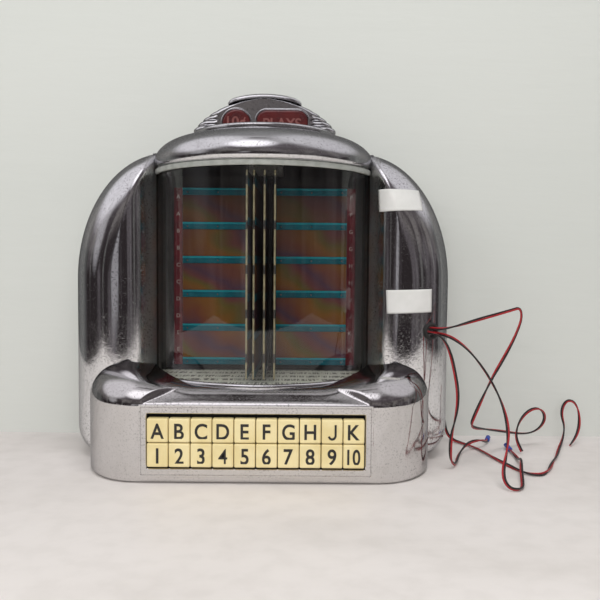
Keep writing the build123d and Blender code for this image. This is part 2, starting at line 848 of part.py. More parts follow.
with BuildPart() as stepping_bank:
    with BuildSketch(facing(back_plate_thickness)):
        with Locations((-works_side_x, works_z)):
            Circle(bank_radius)
    extrude(amount=bank_thickness)
    with BuildSketch(facing(back_plate_thickness + bank_thickness)):
        with Locations((-works_side_x, works_z)):
            Circle(2 * post_radius)
            with PolarLocations(bank_radius - 2 * post_radius, 12):
                Circle(contact_radius)
    extrude(amount=contact_length)
keep(stepping_bank, "stepping_bank")

with BuildPart() as latch_coil:
    with BuildSketch(facing(back_plate_thickness)):
        with Locations((works_side_x, works_z)):
            Rectangle(coil_width, coil_height)
    extrude(amount=coil_depth)
    fillet(latch_coil.edges().filter_by(Axis.Y), coil_height / 4)
    with BuildSketch(facing(back_plate_thickness + coil_depth)):
        with Locations((works_side_x, works_z)):
            Circle(2 * post_radius)
    extrude(amount=contact_length)
keep(latch_coil, "latch_coil")

with BuildPart() as terminal_strip:
    with BuildSketch(facing(back_plate_thickness)):
        with Locations((boss_x, strip_z)):
            Rectangle(strip_width, strip_height)
    extrude(amount=strip_thickness)
    with BuildSketch(facing(back_plate_thickness + strip_thickness)):
        for way in range(strip_ways):
            way_z = strip_z + (way - (strip_ways - 1) / 2) * strip_height / strip_ways
            with Locations((boss_x - strip_width / 4, way_z), (boss_x + strip_width / 4, way_z)):
                Circle(contact_radius)
    extrude(amount=contact_radius)
keep(terminal_strip, "terminal_strip")

lamp_y = -(pedestal_back_depth + crest_front_depth) / 2
tube_lamp_z = hood_top_z - hood_wall - tube_lamp_drop
with BuildPart() as lamps:
    with BuildSketch(Plane.YZ):
        with Locations((back_y - tube_lamp_depth, tube_lamp_z)):
            Circle(tube_lamp_radius)
    extrude(amount=tube_lamp_half, both=True)
    with BuildSketch(level(tube_lamp_z)):
        for hand in hands:
            with Locations((hand * (tube_lamp_half - hinge_reach), -tube_lamp_depth)):
                Rectangle(lamp_radius, lamp_radius)
    extrude(amount=tube_lamp_drop)
    add(hood_solid(hood_wall + lens_clearance), mode=Mode.INTERSECT)
    with BuildSketch(level(hood_top_z)):
        with Locations((round_lens_x, lamp_y), (long_lens_x, lamp_y)):
            Circle(lamp_radius + 1)
    extrude(amount=crest_base_z - hood_top_z)
    with BuildSketch(level(crest_base_z)):
        with Locations((round_lens_x, lamp_y), (long_lens_x, lamp_y)):
            Circle(lamp_radius)
    extrude(amount=lamp_length)
    fillet(lamps.faces().sort_by(Axis.Z)[-2:].edges(), lamp_radius * 0.9)
keep(lamps, "lamps")

# ---------------------------------------------------------------- outlets and leads
grommet_seat = body_edge_roll + lens_clearance
with BuildPart() as cable_grommet:
    with BuildSketch(flank_plane(grommet_seat)):
        Circle(grommet_flange_radius)
    extrude(amount=grommet_flange)
    outer_face = cable_grommet.faces().sort_by(Axis((0, 0, 0), grommet_way))[-1]
    fillet(outer_face.edges(), grommet_flange / 3)
    with BuildSketch(flank_plane(grommet_seat - 2 * casting_wall)):
        Circle(grommet_neck_radius)
    extrude(amount=2 * casting_wall)
    with BuildSketch(flank_plane(grommet_seat - 2 * casting_wall)):
        Circle(grommet_hole_radius)
    extrude(amount=4 * casting_wall, mode=Mode.SUBTRACT)
keep(cable_grommet, "cable_grommet")

with BuildPart() as side_grommet:
    side_spot = (back_y - side_outlet_depth, side_outlet_z)
    with BuildSketch(Plane.YZ.offset(body_half_width - casting_wall)):
        with Locations(side_spot):
            Circle(side_outlet_radius)
    extrude(amount=casting_wall)
    with BuildSketch(Plane.YZ.offset(body_half_width - casting_wall)):
        with Locations(side_spot):
            Circle(side_outlet_radius + grommet_flange)
    extrude(amount=-grommet_flange)
    with BuildSketch(Plane.YZ.offset(body_half_width - 3 * casting_wall)):
        with Locations(side_spot):
            Circle(side_outlet_bore)
    extrude(amount=4 * casting_wall, mode=Mode.SUBTRACT)
keep(side_grommet, "side_grommet")

# each route: x, depth and height of its points, chosen by hand
lead_routes = {
    "main_lead": [
        (134.9, 83.5, 103.9), (140.2, 92.6, 103.9), (149, 99, 101), (159, 105, 93), (169, 111, 80),
        (177, 118, 65), (182, 125, 50), (183, 132, 36), (180, 139, 23), (175.5, 146, 12.8),
        (174.8, 152, 6.2), (177.8, 156.8, 2.2), (183.6, 156.8, 1.5), (188, 151, 1.5), (191.5, 140, 1.5), (195, 125, 6),
        (199, 112, 7.6), (203, 98, 7.2), (206, 84, 2.6), (207.5, 68, 1.8), (208.5, 50, 2.3),
    ],
    "kinked_lead": [
        (133.3, 84.5, 107.2), (138.6, 93.6, 107.2), (148, 98.5, 109.5), (160, 97.5, 113),
        (173, 94.5, 116.5), (185, 91.5, 119.5), (196, 89.5, 122.5), (202.5, 89, 124.5),
        (204, 89.5, 117), (200.5, 91, 107), (195, 93, 96), (188, 95, 84), (180, 97, 71),
        (172, 100, 56), (165.5, 101, 41.5), (164, 96, 33), (170, 84, 28), (182, 68, 23.5),
        (196, 53, 19), (209, 41, 15), (222, 32, 11.5), (233, 27, 11), (240.5, 28, 15.5),
        (244, 31, 23.5), (241.5, 35, 31.5), (235, 38, 35.5), (227, 41, 34), (219.5, 44, 28),
        (214.5, 47, 19), (213.5, 51, 9.5), (216.5, 57, 2.4),
    ],
    "inner_lead": [
        (131.7, 85.4, 103.9), (137, 94.5, 103.9), (142.5, 100.5, 98.5), (146.5, 102.5, 88),
        (149.4, 103, 75.2), (151.7, 103.8, 62), (151.8, 104, 50), (149.9, 104.7, 39), (147, 106, 28),
        (146, 107, 17), (147, 105, 7.5), (151.5, 98, 2.2), (155.5, 87, 1.5), (159, 74, 1.6),
        (164, 61, 2.4), (171, 51, 6.2), (179, 44, 7.8), (188, 37, 7), (194.5, 28, 3), (198, 17, 2.3),
    ],
    "back_lead": [
        (150.5, 12, 34), (156, 12, 33.6), (160.5, 11, 27), (161.5, 9.5, 16), (163, 11, 6.5),
        (167.5, 17, 1.8), (173.5, 26, 1.5), (180, 37.5, 1.5), (185, 54, 1.5), (189, 74, 1.5),
        (193.5, 94, 1.5), (198.5, 110, 1.5), (203.5, 118.5, 1.5), (211, 120.5, 1.5), (217.5, 114.5, 1.5),
        (223.5, 103.5, 1.5), (231.5, 87, 1.5), (241.5, 68, 1.5), (251, 46, 1.5), (259, 29, 2), (265.5, 17, 5.5), (269, 10, 13.5),
        (267, 7, 23), (268.2, 6.8, 31.5), (271.7, 8.3, 36.6), (276.5, 10.5, 36.2), (279.6, 13, 30),
        (280, 16, 21), (278, 19.5, 12.5), (273, 24, 5), (266.5, 31, 1.8),
    ],
}


def corner_radii(points):
    """The radius at each corner: as large as its two runs allow."""
    radii = []
    for before, corner, after in zip(points, points[1:], points[2:]):
        arriving, leaving = corner - before, after - corner
        shorter = min(arriving.length, leaving.length)
        radii.append(0.45 * shorter / tan(radians(arriving.get_angle(leaving)) / 2))
    return radii


for lead_name, route in lead_routes.items():
    points = [Vector(x, back_y - depth, z) for x, depth, z in route]
    radii = corner_radii(points)
    with BuildPart() as lead:
        with BuildLine() as path:
            FilletPolyline(*points, radius=radii)
        with BuildSketch(Plane(origin=path.line @ 0, z_dir=path.line % 0)):
            Circle(lead_diameter / 2)
        sweep()
    section = pi * lead_diameter**2 / 4
    length = sum(edge.length for edge in path.edges())
    print(lead_name, "length", round(length, 1), "radii", *[round(r, 1) for r in radii])
    print("  volume over section times length", round(lead.part.volume / section / length, 4))
    keep(lead, lead_name)
    if lead_name in ("main_lead", "inner_lead"):
        way_out = (points[-1] - points[-2]).normalized()
        with BuildPart() as crimp:
            with BuildSketch(Plane(origin=points[-1], z_dir=way_out)):
                Circle(crimp_radius)
            extrude(amount=crimp_length)
            fillet(crimp.edges().filter_by(GeomType.CIRCLE), crimp_radius / 4)
        keep(crimp, lead_name.replace("lead", "crimp"))

print(len(parts), "nodes")
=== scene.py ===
"""Looks of a jukebox wall box selector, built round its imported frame.

Sizes are in millimetres in (x, depth, height), where depth runs forward from the back face. place()
turns them into the frame's metres. Surfaces are worked out as whole numpy arrays of grid points. Letters use
the material slot LEGEND of their piece.
"""

import logging
import math
from dataclasses import dataclass, field
from enum import Enum
from typing import Any, Callable, Sequence

import bmesh
import bpy
import numpy as np
from mathutils import Matrix, Vector


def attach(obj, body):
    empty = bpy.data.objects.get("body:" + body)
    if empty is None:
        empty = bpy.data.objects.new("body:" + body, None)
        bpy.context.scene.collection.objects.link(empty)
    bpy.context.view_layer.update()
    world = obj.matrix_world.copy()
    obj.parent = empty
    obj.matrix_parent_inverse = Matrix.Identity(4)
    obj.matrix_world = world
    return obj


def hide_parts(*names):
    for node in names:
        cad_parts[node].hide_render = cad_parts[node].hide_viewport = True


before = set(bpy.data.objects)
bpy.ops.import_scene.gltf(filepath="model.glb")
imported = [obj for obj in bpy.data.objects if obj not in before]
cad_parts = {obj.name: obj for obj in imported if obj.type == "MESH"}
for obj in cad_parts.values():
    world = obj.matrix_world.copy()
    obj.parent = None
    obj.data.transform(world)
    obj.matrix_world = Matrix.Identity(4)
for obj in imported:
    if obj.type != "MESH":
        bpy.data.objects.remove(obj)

Array = np.ndarray
Object = bpy.types.Object
Material = bpy.types.Material
Triple = tuple[float, float, float]

HALF_DEPTH = 74.5
MM = 0.001
HOUSING = "housing"
LEGEND = 1
MIRROR = np.array([-1.0, 1.0, 1.0])
HALVINGS = 30
LOG = logging.getLogger("selector")


# ------------------------------------------------------------------ mesh kit
def place(points: Array) -> Array:
    """Turns (x, depth, height) in millimetres into the frame's metres.

    Args:
        points: an array whose last axis holds x, depth and height.

    Returns:
        The same points as x, y, z: y is half the overall depth less the depth.
    """
    points = np.asarray(points, float)
    return np.stack([points[..., 0], HALF_DEPTH - points[..., 1], points[..., 2]], -1) * MM


def grid_faces(rows: int, columns: int, wrap: bool = False, start: int = 0) -> Array:
    """Quads of a grid of points that is stored row by row.

    Args:
        rows: the number of rows.
        columns: the number of points in a row.
        wrap: whether the last column joins the first.
        start: the index of the grid's first point.

    Returns:
        An array of four point indices for each quad.
    """
    across = np.arange(columns if wrap else columns - 1)
    down = np.arange(rows - 1)[:, None] * columns + start
    after = (across + 1) % columns
    quads = np.stack([down + across, down + after, down + columns + after, down + columns + across], -1)
    return quads.reshape(-1, 4)


@dataclass
class Shape:
    """A mesh in the making: grids of points with their faces.

    The points are in (x, depth, height), or in the frame's metres where placed is true.
    """

    placed: bool = False
    points: list[Array] = field(default_factory=list)
    faces: list[list[int]] = field(default_factory=list)
    marks: list[int] = field(default_factory=list)
    count: int = 0

    def grid(
        self,
        points: Array,
        wrap: bool = False,
        caps: bool = False,
        mark: int = 0,
        keep: Array | None = None,
    ) -> "Shape":
        """Adds a grid of points.

        Args:
            points: rows by columns by three.
            wrap: whether each row is a closed ring.
            caps: whether the first and last ring are filled.
            mark: the material slot of the new faces.
            keep: a mask of quads, rows less one by columns less one, of which only the true ones are made.

        Returns:
            This shape.
        """
        rows, columns = points.shape[:2]
        quads = grid_faces(rows, columns, wrap, self.count)
        if keep is not None:
            quads = quads[keep.reshape(-1)]
        self.faces += quads.tolist()
        self.marks += [mark] * len(quads)
        if caps:
            ring = np.arange(columns) + self.count
            self.faces += [ring[::-1].tolist(), (ring + (rows - 1) * columns).tolist()]
            self.marks += [mark] * 2
        self.points.append(points.reshape(-1, 3))
        self.count += rows * columns
        return self

    def tube(self, rings: Sequence[Array], mark: int = 0) -> "Shape":
        """Adds closed rings of points, filled at both ends, and returns this shape."""
        return self.grid(np.asarray(rings), wrap=True, caps=True, mark=mark)

    def prism(self, loop: Array, heights: Sequence[float], mark: int = 0) -> "Shape":
        """Adds a plane loop (x, depth) carried upright from height to height, and returns this shape."""
        return self.tube([level(loop, height) for height in heights], mark)

    def mirrored(self) -> "Shape":
        """Adds the same shape on the other side of the middle, and returns this shape."""
        copies = [p * MIRROR for p in self.points]
        self.faces += [[i + self.count for i in f[::-1]] for f in self.faces]
        self.marks += self.marks
        self.points += copies
        self.count *= 2
        return self

    def build(
        self, name: str, materials: Sequence[Material], sharp: float = 32.0, merge: float = 0.004
    ) -> Object:
        """Makes the object.

        Args:
            name: the object's name.
            materials: its material slots.
            sharp: the angle in degrees above which an edge is sharp.
            merge: how near in millimetres points are made one.

        Returns:
            The object, with its faces pointing outwards where it is closed.
        """
        points = np.concatenate(self.points)
        mesh = bpy.data.meshes.new(name)
        mesh.from_pydata(points if self.placed else place(points), [], self.faces)
        mesh.polygons.foreach_set("material_index", np.array(self.marks, np.int32))
        tidy(mesh, merge)
        return dress(link(bpy.data.objects.new(name, mesh)), materials, sharp)


def tidy(mesh: bpy.types.Mesh, merge: float = 0.004) -> None:
    """Makes near points one, drops faces without area and turns all faces outwards."""
    work = bmesh.new()
    work.from_mesh(mesh)
    bmesh.ops.remove_doubles(work, verts=work.verts, dist=merge * MM)
    bmesh.ops.dissolve_degenerate(work, edges=work.edges, dist=1e-7)
    loose = [v for v in work.verts if not v.link_faces]
    bmesh.ops.delete(work, geom=loose, context="VERTS")
    bmesh.ops.recalc_face_normals(work, faces=work.faces)
    work.to_mesh(mesh)
    work.free()


def link(piece: Object) -> Object:
    """Puts an object into the scene and returns it."""
    bpy.context.scene.collection.objects.link(piece)
    return piece


def dress(piece: Object, materials: Sequence[Material], sharp: float = 32.0) -> Object:
    """Gives a mesh its materials and smooth shading with sharp edges above an angle in degrees."""
    mesh = piece.data
    for material in materials:
        mesh.materials.append(material)
    mesh.polygons.foreach_set("use_smooth", np.ones(len(mesh.polygons), bool))
    mesh.set_sharp_from_angle(angle=math.radians(sharp))
    return piece


def thicken(piece: Object, wall: float, out: Triple) -> Object:
    """Gives an open sheet a wall to its inside.

    Args:
        piece: an object whose mesh is an open sheet.
        wall: the wall in millimetres.
        out: a direction in the frame that the sheet's faces should point along, on the whole.

    Returns:
        The same object with a closed mesh.
    """
    mesh = piece.data
    normals = np.zeros(len(mesh.polygons) * 3)
    areas = np.zeros(len(mesh.polygons))
    mesh.polygons.foreach_get("normal", normals)
    mesh.polygons.foreach_get("area", areas)
    if (normals.reshape(-1, 3) * areas[:, None]).sum(0) @ np.array(out) < 0:
        mesh.flip_normals()
    solid = piece.modifiers.new("wall", "SOLIDIFY")
    solid.thickness = wall * MM
    solid.offset = -1
    return piece


def settle(piece: Object) -> Object:
    """Applies a piece's modifiers to its mesh and returns it."""
    mesh = as_mesh(piece)
    piece.modifiers.clear()
    piece.data = mesh
    return piece


def as_mesh(piece: Object) -> bpy.types.Mesh:
    """A new mesh of what a piece looks like with its modifiers applied, or with its curve filled."""
    return bpy.data.meshes.new_from_object(piece.evaluated_get(bpy.context.evaluated_depsgraph_get()))


def read_points(mesh: bpy.types.Mesh) -> Array:
    """A mesh's points, in metres."""
    points = np.zeros(len(mesh.vertices) * 3)
    mesh.vertices.foreach_get("co", points)
    return points.reshape(-1, 3)


def write_points(mesh: bpy.types.Mesh, points: Array) -> None:
    """Moves a mesh's points to new places, in metres."""
    mesh.vertices.foreach_set("co", points.astype(np.float32).ravel())
    mesh.update()


def unit(vectors: Array) -> Array:
    """Vectors along the last axis, brought to length one."""
    return vectors / np.linalg.norm(vectors, axis=-1, keepdims=True)


def ease(value: Array, start: float, end: float) -> Array:
    """A smooth step: three times the square less twice the cube of the share of the way from start to end."""
    share = np.clip((value - start) / (end - start), 0, 1)
    return share**2 * (3 - 2 * share)


def ellipse_inset(x: Array, y: Array, half: tuple[float, float], limit: float) -> Array:
    """How far points lie inside an ellipse about nought, both of whose half axes shrink by that much.

    Args:
        x: the points' first coordinates.
        y: their second coordinates.
        half: the two half axes.
        limit: the most that the ellipse is drawn in, which is less than either half axis.

    Returns:
        The inset at each point, found by halving between nought and the limit.
    """
    low, high = np.zeros_like(x), np.full_like(x, limit)
    for _ in range(HALVINGS):
        middle = (low + high) / 2
        inside = (x / (half[0] - middle)) ** 2 + (y / (half[1] - middle)) ** 2 < 1
        low, high = np.where(inside, middle, low), np.where(inside, high, middle)
    return low


def steps(*stops: tuple[float, float, int]) -> Array:
    """Joins runs of evenly spaced numbers, each given as (from, to, count), without doubled ends."""
    runs = [np.linspace(a, b, n) for a, b, n in stops]
    return np.concatenate([runs[0], *[r[1:] for r in runs[1:]]])


def arc(centre: Sequence[float], radii: Sequence[float], start: float, end: float, count: int) -> Array:
    """Points of an elliptic arc: the centre plus the radii times cosine and sine of the angle in degrees."""
    turn = np.radians(np.linspace(start, end, count))
    return np.stack([centre[0] + radii[0] * np.cos(turn), centre[1] + radii[1] * np.sin(turn)], -1)


def circle(radius: float, sides: int) -> Array:
    """A closed loop in a plane: evenly spaced points of a circle about nought."""
    return arc((0, 0), (radius, radius), 0, 360, sides + 1)[:-1]


def level(loop: Array, height: float) -> Array:
    """Lays a plane loop (x, depth) at a height."""
    return np.column_stack([loop, np.full(len(loop), height)])


def round_rectangle(half_width: float, half_height: float, corner: float, count: int = 7) -> Array:
    """A closed loop in a plane: four quarter circles of the corner's radius, joined by straight edges."""
    ends = ((1, 1, 0), (-1, 1, 90), (-1, -1, 180), (1, -1, 270))
    across, up = half_width - corner, half_height - corner
    return np.concatenate([arc((x * across, z * up), (corner, corner), a, a + 90, count) for x, z, a in ends])


def on_front(loop: Array, depth: float | Array, middle: Sequence[float] = (0, 0)) -> Array:
    """Lays a plane loop (x, height) at a depth, about a middle."""
    depths = np.broadcast_to(depth, loop.shape[:1])
    return np.stack([loop[:, 0] + middle[0], depths, loop[:, 1] + middle[1]], -1)


def turned(profile: Array, axis_depth: float, angles: Array) -> Array:
    """Carries a profile (radius, height) round an upright axis at a depth.

    A point lies at x = radius times the sine of the angle, and at a depth of the axis plus radius times its
    cosine. Angles are in degrees, with nought at the front. Rows are angles and columns are profile points.
    """
    turn = np.radians(angles)[:, None]
    radius, height = profile[None, :, 0], profile[None, :, 1]
    x = radius * np.sin(turn)
    return np.stack([x, axis_depth + radius * np.cos(turn), np.broadcast_to(height, x.shape)], -1)


def finish_piece(piece: Object, body: str, slot: str, *nodes: str) -> Object:
    """Lets a piece ride on a body, hides the nodes that it stands for, and reports both."""
    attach(piece, body)
    if nodes:
        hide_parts(*nodes)
    LOG.info("%s rides on %s, in place of %s", piece.name, body, ", ".join(nodes) or "nothing")
    return piece


# ------------------------------------------------------------------ shader kit
class Wire:
    """A shader socket that takes part in sums with other sockets and plain numbers."""

    def __init__(self, nodes: "Nodes", socket: Any) -> None:
        """Holds an output socket and the tree that it belongs to."""
        self.nodes = nodes
        self.socket = socket

    def math(self, kind: str, *others: Any) -> "Wire":
        """A Math node of that kind on this wire and the others."""
        return self.nodes.node("ShaderNodeMath", dict(enumerate([self, *others])), {"operation": kind})

    def __add__(self, other: Any) -> "Wire":
        """The sum."""
        return self.math("ADD", other)

    __radd__ = __add__

    def __mul__(self, other: Any) -> "Wire":
        """The product."""
        return self.math("MULTIPLY", other)

    __rmul__ = __mul__

    def __sub__(self, other: Any) -> "Wire":
        """The difference."""
        return self.math("SUBTRACT", other)

    def __rsub__(self, other: Any) -> "Wire":
        """The difference from a number."""
        return (self * -1.0) + other

    def __truediv__(self, other: Any) -> "Wire":
        """The quotient."""
        return self.math("DIVIDE", other)

    def __abs__(self) -> "Wire":
        """This without its sign."""
        return self.math("ABSOLUTE")

    def power(self, other: Any) -> "Wire":
        """This to a power."""
        return self.math("POWER", other)

    def above(self, other: Any) -> "Wire":
        """One where this is greater."""
        return self.math("GREATER_THAN", other)

    def held(self) -> "Wire":
        """This kept between nought and one."""
        return self.math("MINIMUM", 1.0).math("MAXIMUM", 0.0)

    def band(self, low: float, high: float) -> "Wire":
        """A smooth rise from nought at low to one at high."""
        values = {"Value": self, "From Min": low, "From Max": high}
        return self.nodes.node("ShaderNodeMapRange", values, {"interpolation_type": "SMOOTHSTEP"})


def set_socket(socket: Any, value: Any) -> None:
    """Gives a socket a plain value, and makes a colour of three parts opaque."""
    colour = isinstance(value, tuple) and len(value) == 3 and socket.type == "RGBA"
    socket.default_value = (*value, 1.0) if colour else value


class Nodes:
    """A node tree whose patterns follow one kind of coordinates."""

    def __init__(self, tree: bpy.types.NodeTree, coordinates: str = "Object") -> None:
        """Holds the tree and the name of the coordinates, which for an object are in metres."""
        self.tree = tree
        self.coordinates = coordinates

    def node(
        self,
        kind: str,
        values: dict[Any, Any] | None = None,
        settings: dict[str, Any] | None = None,
        out: Any = 0,
    ) -> Wire:
        """Makes a node.

        Args:
            kind: the node's type.
            values: plain values or wires, by socket name or number.
            settings: its properties, or "stops" with (place, colour) pairs for a ramp.
            out: which output to hand back.

        Returns:
            The output as a wire.
        """
        node = self.tree.nodes.new(kind)
        settings = dict(settings or {})
        stops = settings.pop("stops", [])
        for key, value in settings.items():
            setattr(node, key, value)
        for _ in stops[2:]:
            node.color_ramp.elements.new(0.5)
        for (spot, colour), element in zip(stops, node.color_ramp.elements if stops else []):
            element.position = spot
            element.color = (*colour, 1.0)
        for key, value in (values or {}).items():
            if isinstance(value, Wire):
                self.tree.links.new(value.socket, node.inputs[key])
            else:
                set_socket(node.inputs[key], value)
        return Wire(self, node.outputs[out])

    def spot(self) -> Wire:
        """The coordinates."""
        return self.node("ShaderNodeTexCoord", out=self.coordinates)

    def axes(self) -> tuple[Wire, ...]:
        """The three parts of the coordinates."""
        split = self.node("ShaderNodeSeparateXYZ", {"Vector": self.spot()})
        return tuple(Wire(self, output) for output in split.socket.node.outputs)

    def ray(self, kind: str) -> Wire:
        """One for rays of a kind, nought for the others."""
        return self.node("ShaderNodeLightPath", out=f"Is {kind} Ray")

    def noise(
        self, scale: float, detail: float = 2.0, stretch: Triple = (1, 1, 1), rough: float = 0.5
    ) -> Wire:
        """Noise over the coordinates, with cells of about one over scale, stretched along the axes."""
        where = self.node("ShaderNodeMapping", {"Vector": self.spot(), "Scale": stretch})
        values = {"Vector": where, "Scale": scale, "Detail": detail, "Roughness": rough}
        return self.node("ShaderNodeTexNoise", values)

    def mix(self, factor: Any, first: Any, second: Any) -> Wire:
        """A colour between two, by a factor."""
        return self.node("ShaderNodeMix", {0: factor, 6: first, 7: second}, {"data_type": "RGBA"}, 2)


class Shader(Nodes):
    """A material's node tree with one Principled shader."""

    def __init__(self, name: str, **values: Any) -> None:
        """Makes the material and sets sockets of its Principled shader.

        Args:
            name: the material's name.
            values: socket names with underscores for spaces, and their plain values.
        """
        self.material = bpy.data.materials.new(name)
        self.material.use_nodes = True
        super().__init__(self.material.node_tree)
        self.main = self.tree.nodes["Principled BSDF"]
        for key, value in values.items():
            set_socket(self.main.inputs[key.replace("_", " ")], value)

    def feed(self, socket: str, value: Wire) -> "Shader":
        """Links a wire to a socket of the Principled shader."""
        self.tree.links.new(value.socket, self.main.inputs[socket])
        return self

    def bump(self, height: Wire, strength: float, distance: float) -> "Shader":
        """Feeds a height to the Normal socket through a Bump node, with a distance in metres."""
        values = {"Strength": strength, "Distance": distance, "Height": height}
        return self.feed("Normal", self.node("ShaderNodeBump", values))

    def solid(self) -> Wire:
        """The Principled shader's output."""
        return Wire(self, self.main.outputs[0])

    def clear(self, tint: Triple = (1.0, 1.0, 1.0)) -> Wire:
        """A transparent shader."""
        return self.node("ShaderNodeBsdfTransparent", {"Color": tint})

    def surface(self, share: Wire, first: Wire, second: Wire) -> None:
        """Makes the surface a mix of two shaders, with the share of the second."""
        mixed = self.node("ShaderNodeMixShader", {0: share, 1: first, 2: second})
        self.tree.links.new(mixed.socket, self.tree.nodes["Material Output"].inputs["Surface"])


# ------------------------------------------------------------------ finishes
@dataclass(frozen=True)
class Chrome:
    """Old chrome plate: mirror-like, clouded in patches, pitted and specked, with grime and painted shade by
    the window.
    """

    name: str
    tint: Triple = (0.80, 0.80, 0.81)
    gloss: float = 0.05
    cloud: float = 0.12
    pits: float = 0.25
    grime_and_shade: bool = False
    grime_and_shade_edge: tuple[float, float] = (0.0900, 0.0990)
    dark: Triple = (0.13, 0.115, 0.11)

    def material(self) -> Material:
        """Clouds are broad noise in the roughness; specks are fine noise in the colour, roughness and bump.

        The grime and painted shade are a smooth step in the distance from the middle, in metres, broken up by
        noise: beside the window the colour darkens as painted shade and the roughness rises as grime.
        """
        shade = Shader(self.name, Metallic=1.0, Specular_Tint=(0.55, 0.55, 0.56, 1.0))
        cloud = shade.noise(22.0, 4.0).band(0.40, 0.72)
        speck = shade.noise(800.0, 3.0, rough=0.65).band(0.52, 0.70)
        streak = shade.noise(160.0, 3.0, (1, 1, 0.35)).band(0.55, 0.8)
        dirt_and_shade = speck * (cloud * 0.8 + 0.35) * self.pits * 1.3 + streak * 0.10
        rough = cloud * self.cloud + speck * 0.25 * self.pits + self.gloss
        # beside the window: painted shade darkens the colour, and grime raises the roughness
        if self.grime_and_shade:
            x, _, _ = shade.axes()
            side = 1.0 - (abs(x) + shade.noise(90.0, 3.0) * 0.005).band(*self.grime_and_shade_edge)
            dirt_and_shade, rough = dirt_and_shade + side * 0.12, rough + side * 0.40
        shade.feed("Base Color", shade.mix(dirt_and_shade.held(), self.tint, self.dark))
        shade.feed("Roughness", rough.held())
        grain = shade.noise(1400.0, 2.0) * 0.35 + shade.noise(320.0, 2.0) * 0.65
        shade.bump(grain, 0.11 * self.pits + 0.02, 0.0003)
        return shade.material


@dataclass(frozen=True)
class Moulding:
    """A moulded or painted surface with slight mottling and a fine skin."""

    name: str
    colour: Triple
    second: Triple
    rough: float = 0.4
    scale: float = 90.0
    metal: float = 0.0
    grain: float = 0.05
    coat: float = 0.0
    shine: float = 0.5

    def material(self) -> Material:
        """The colour wanders between two by noise, the roughness with it, and a fine noise gives the skin."""
        coat = {"Coat_Weight": self.coat, "Coat_Roughness": 0.08}
        shade = Shader(self.name, Metallic=self.metal, Specular_IOR_Level=self.shine, **coat)
        patch = shade.noise(self.scale, 4.0).band(0.35, 0.68)
        shade.feed("Base Color", shade.mix(patch, self.colour, self.second))
        shade.feed("Roughness", (patch * 0.15 + self.rough).held())
        shade.bump(shade.noise(self.scale * 14, 2.0), self.grain, 0.0002)
        return shade.material


@dataclass(frozen=True)
class Pane:
    """Clear, thin window glass that lets light straight through and mirrors the room in its surface."""

    name: str
    tint: Triple = (0.95, 0.96, 0.95)

    def material(self) -> Material:
        """An unbending body under a smeared glossy coat; shadow and diffuse rays pass straight through."""
        coat = {"Coat_Weight": 1.0, "Coat_Roughness": 0.015}
        shade = Shader(self.name, Base_Color=self.tint, IOR=1.0, Transmission_Weight=1.0, **coat)
        shade.feed("Roughness", shade.noise(30.0, 4.0, (1, 1, 0.3)).band(0.5, 0.8) * 0.02)
        through = shade.ray("Shadow").math("MAXIMUM", shade.ray("Diffuse"))
        shade.surface(through, shade.solid(), shade.clear(self.tint))
        return shade.material


@dataclass(frozen=True)
class TitleField:
    """A dark title card under an iridescent cover: rust, olive and plum drift across it."""

    name: str
    stops: tuple[tuple[float, Triple], ...] = (
        (0.0, (0.150, 0.048, 0.028)),
        (0.28, (0.190, 0.080, 0.018)),
        (0.45, (0.115, 0.085, 0.022)),
        (0.62, (0.135, 0.045, 0.042)),
        (0.8, (0.080, 0.038, 0.062)),
        (1.0, (0.150, 0.048, 0.028)),
    )

    def material(self) -> Material:
        """A warped diagonal wave of the place runs through the ramp of colours; towards the top it is darkened
        as a painted shadow of the hood.
        """
        shade = Shader(self.name, Specular_IOR_Level=0.12)
        x, _, z = shade.axes()
        warp = shade.noise(14.0, 3.0, (1, 1, 1.4)) * 1.5
        fringe = (x * 11.0 + z * 17.0 + warp).math("FRACT")
        hue = shade.node("ShaderNodeValToRGB", {"Fac": fringe}, {"stops": self.stops})
        # painted shadow of the hood: the field darkens towards the top
        dark = (z * 5.2).band(0.62, 1.22)
        shade.feed("Base Color", shade.mix(dark * 0.62, hue, (0.045, 0.030, 0.025)))
        shade.feed("Roughness", shade.noise(60.0) * 0.2 + 0.35)
        shade.bump(shade.noise(500.0, 2.0, (0.2, 1, 3)), 0.06, 0.0002)
        return shade.material


@dataclass(frozen=True)
class Print:
    """A pale card with rows of tiny printed dashes."""

    name: str
    paper: Triple = (0.50, 0.49, 0.43)
    ink: Triple = (0.10, 0.09, 0.08)
    row: float = 0.017

    def material(self) -> Material:
        """Rows are a repeat along y; in each row noise that is stretched across cuts the ink into marks."""
        shade = Shader(self.name)
        x, y, _ = shade.axes()
        line = (y / self.row).math("FRACT").math("PINGPONG", 0.5).band(0.20, 0.26)
        marks = shade.noise(1100.0, 1.0, (1, 0.05, 0.1)).band(0.47, 0.51)
        patch = shade.noise(45.0, 3.0).band(0.26, 0.42)
        shade.feed("Base Color", shade.mix((line * marks * patch).held(), self.paper, self.ink))
        shade.feed("Roughness", shade.noise(90.0) * 0.2 + 0.5)
        shade.bump(shade.noise(1200.0), 0.05, 0.0001)
        return shade.material


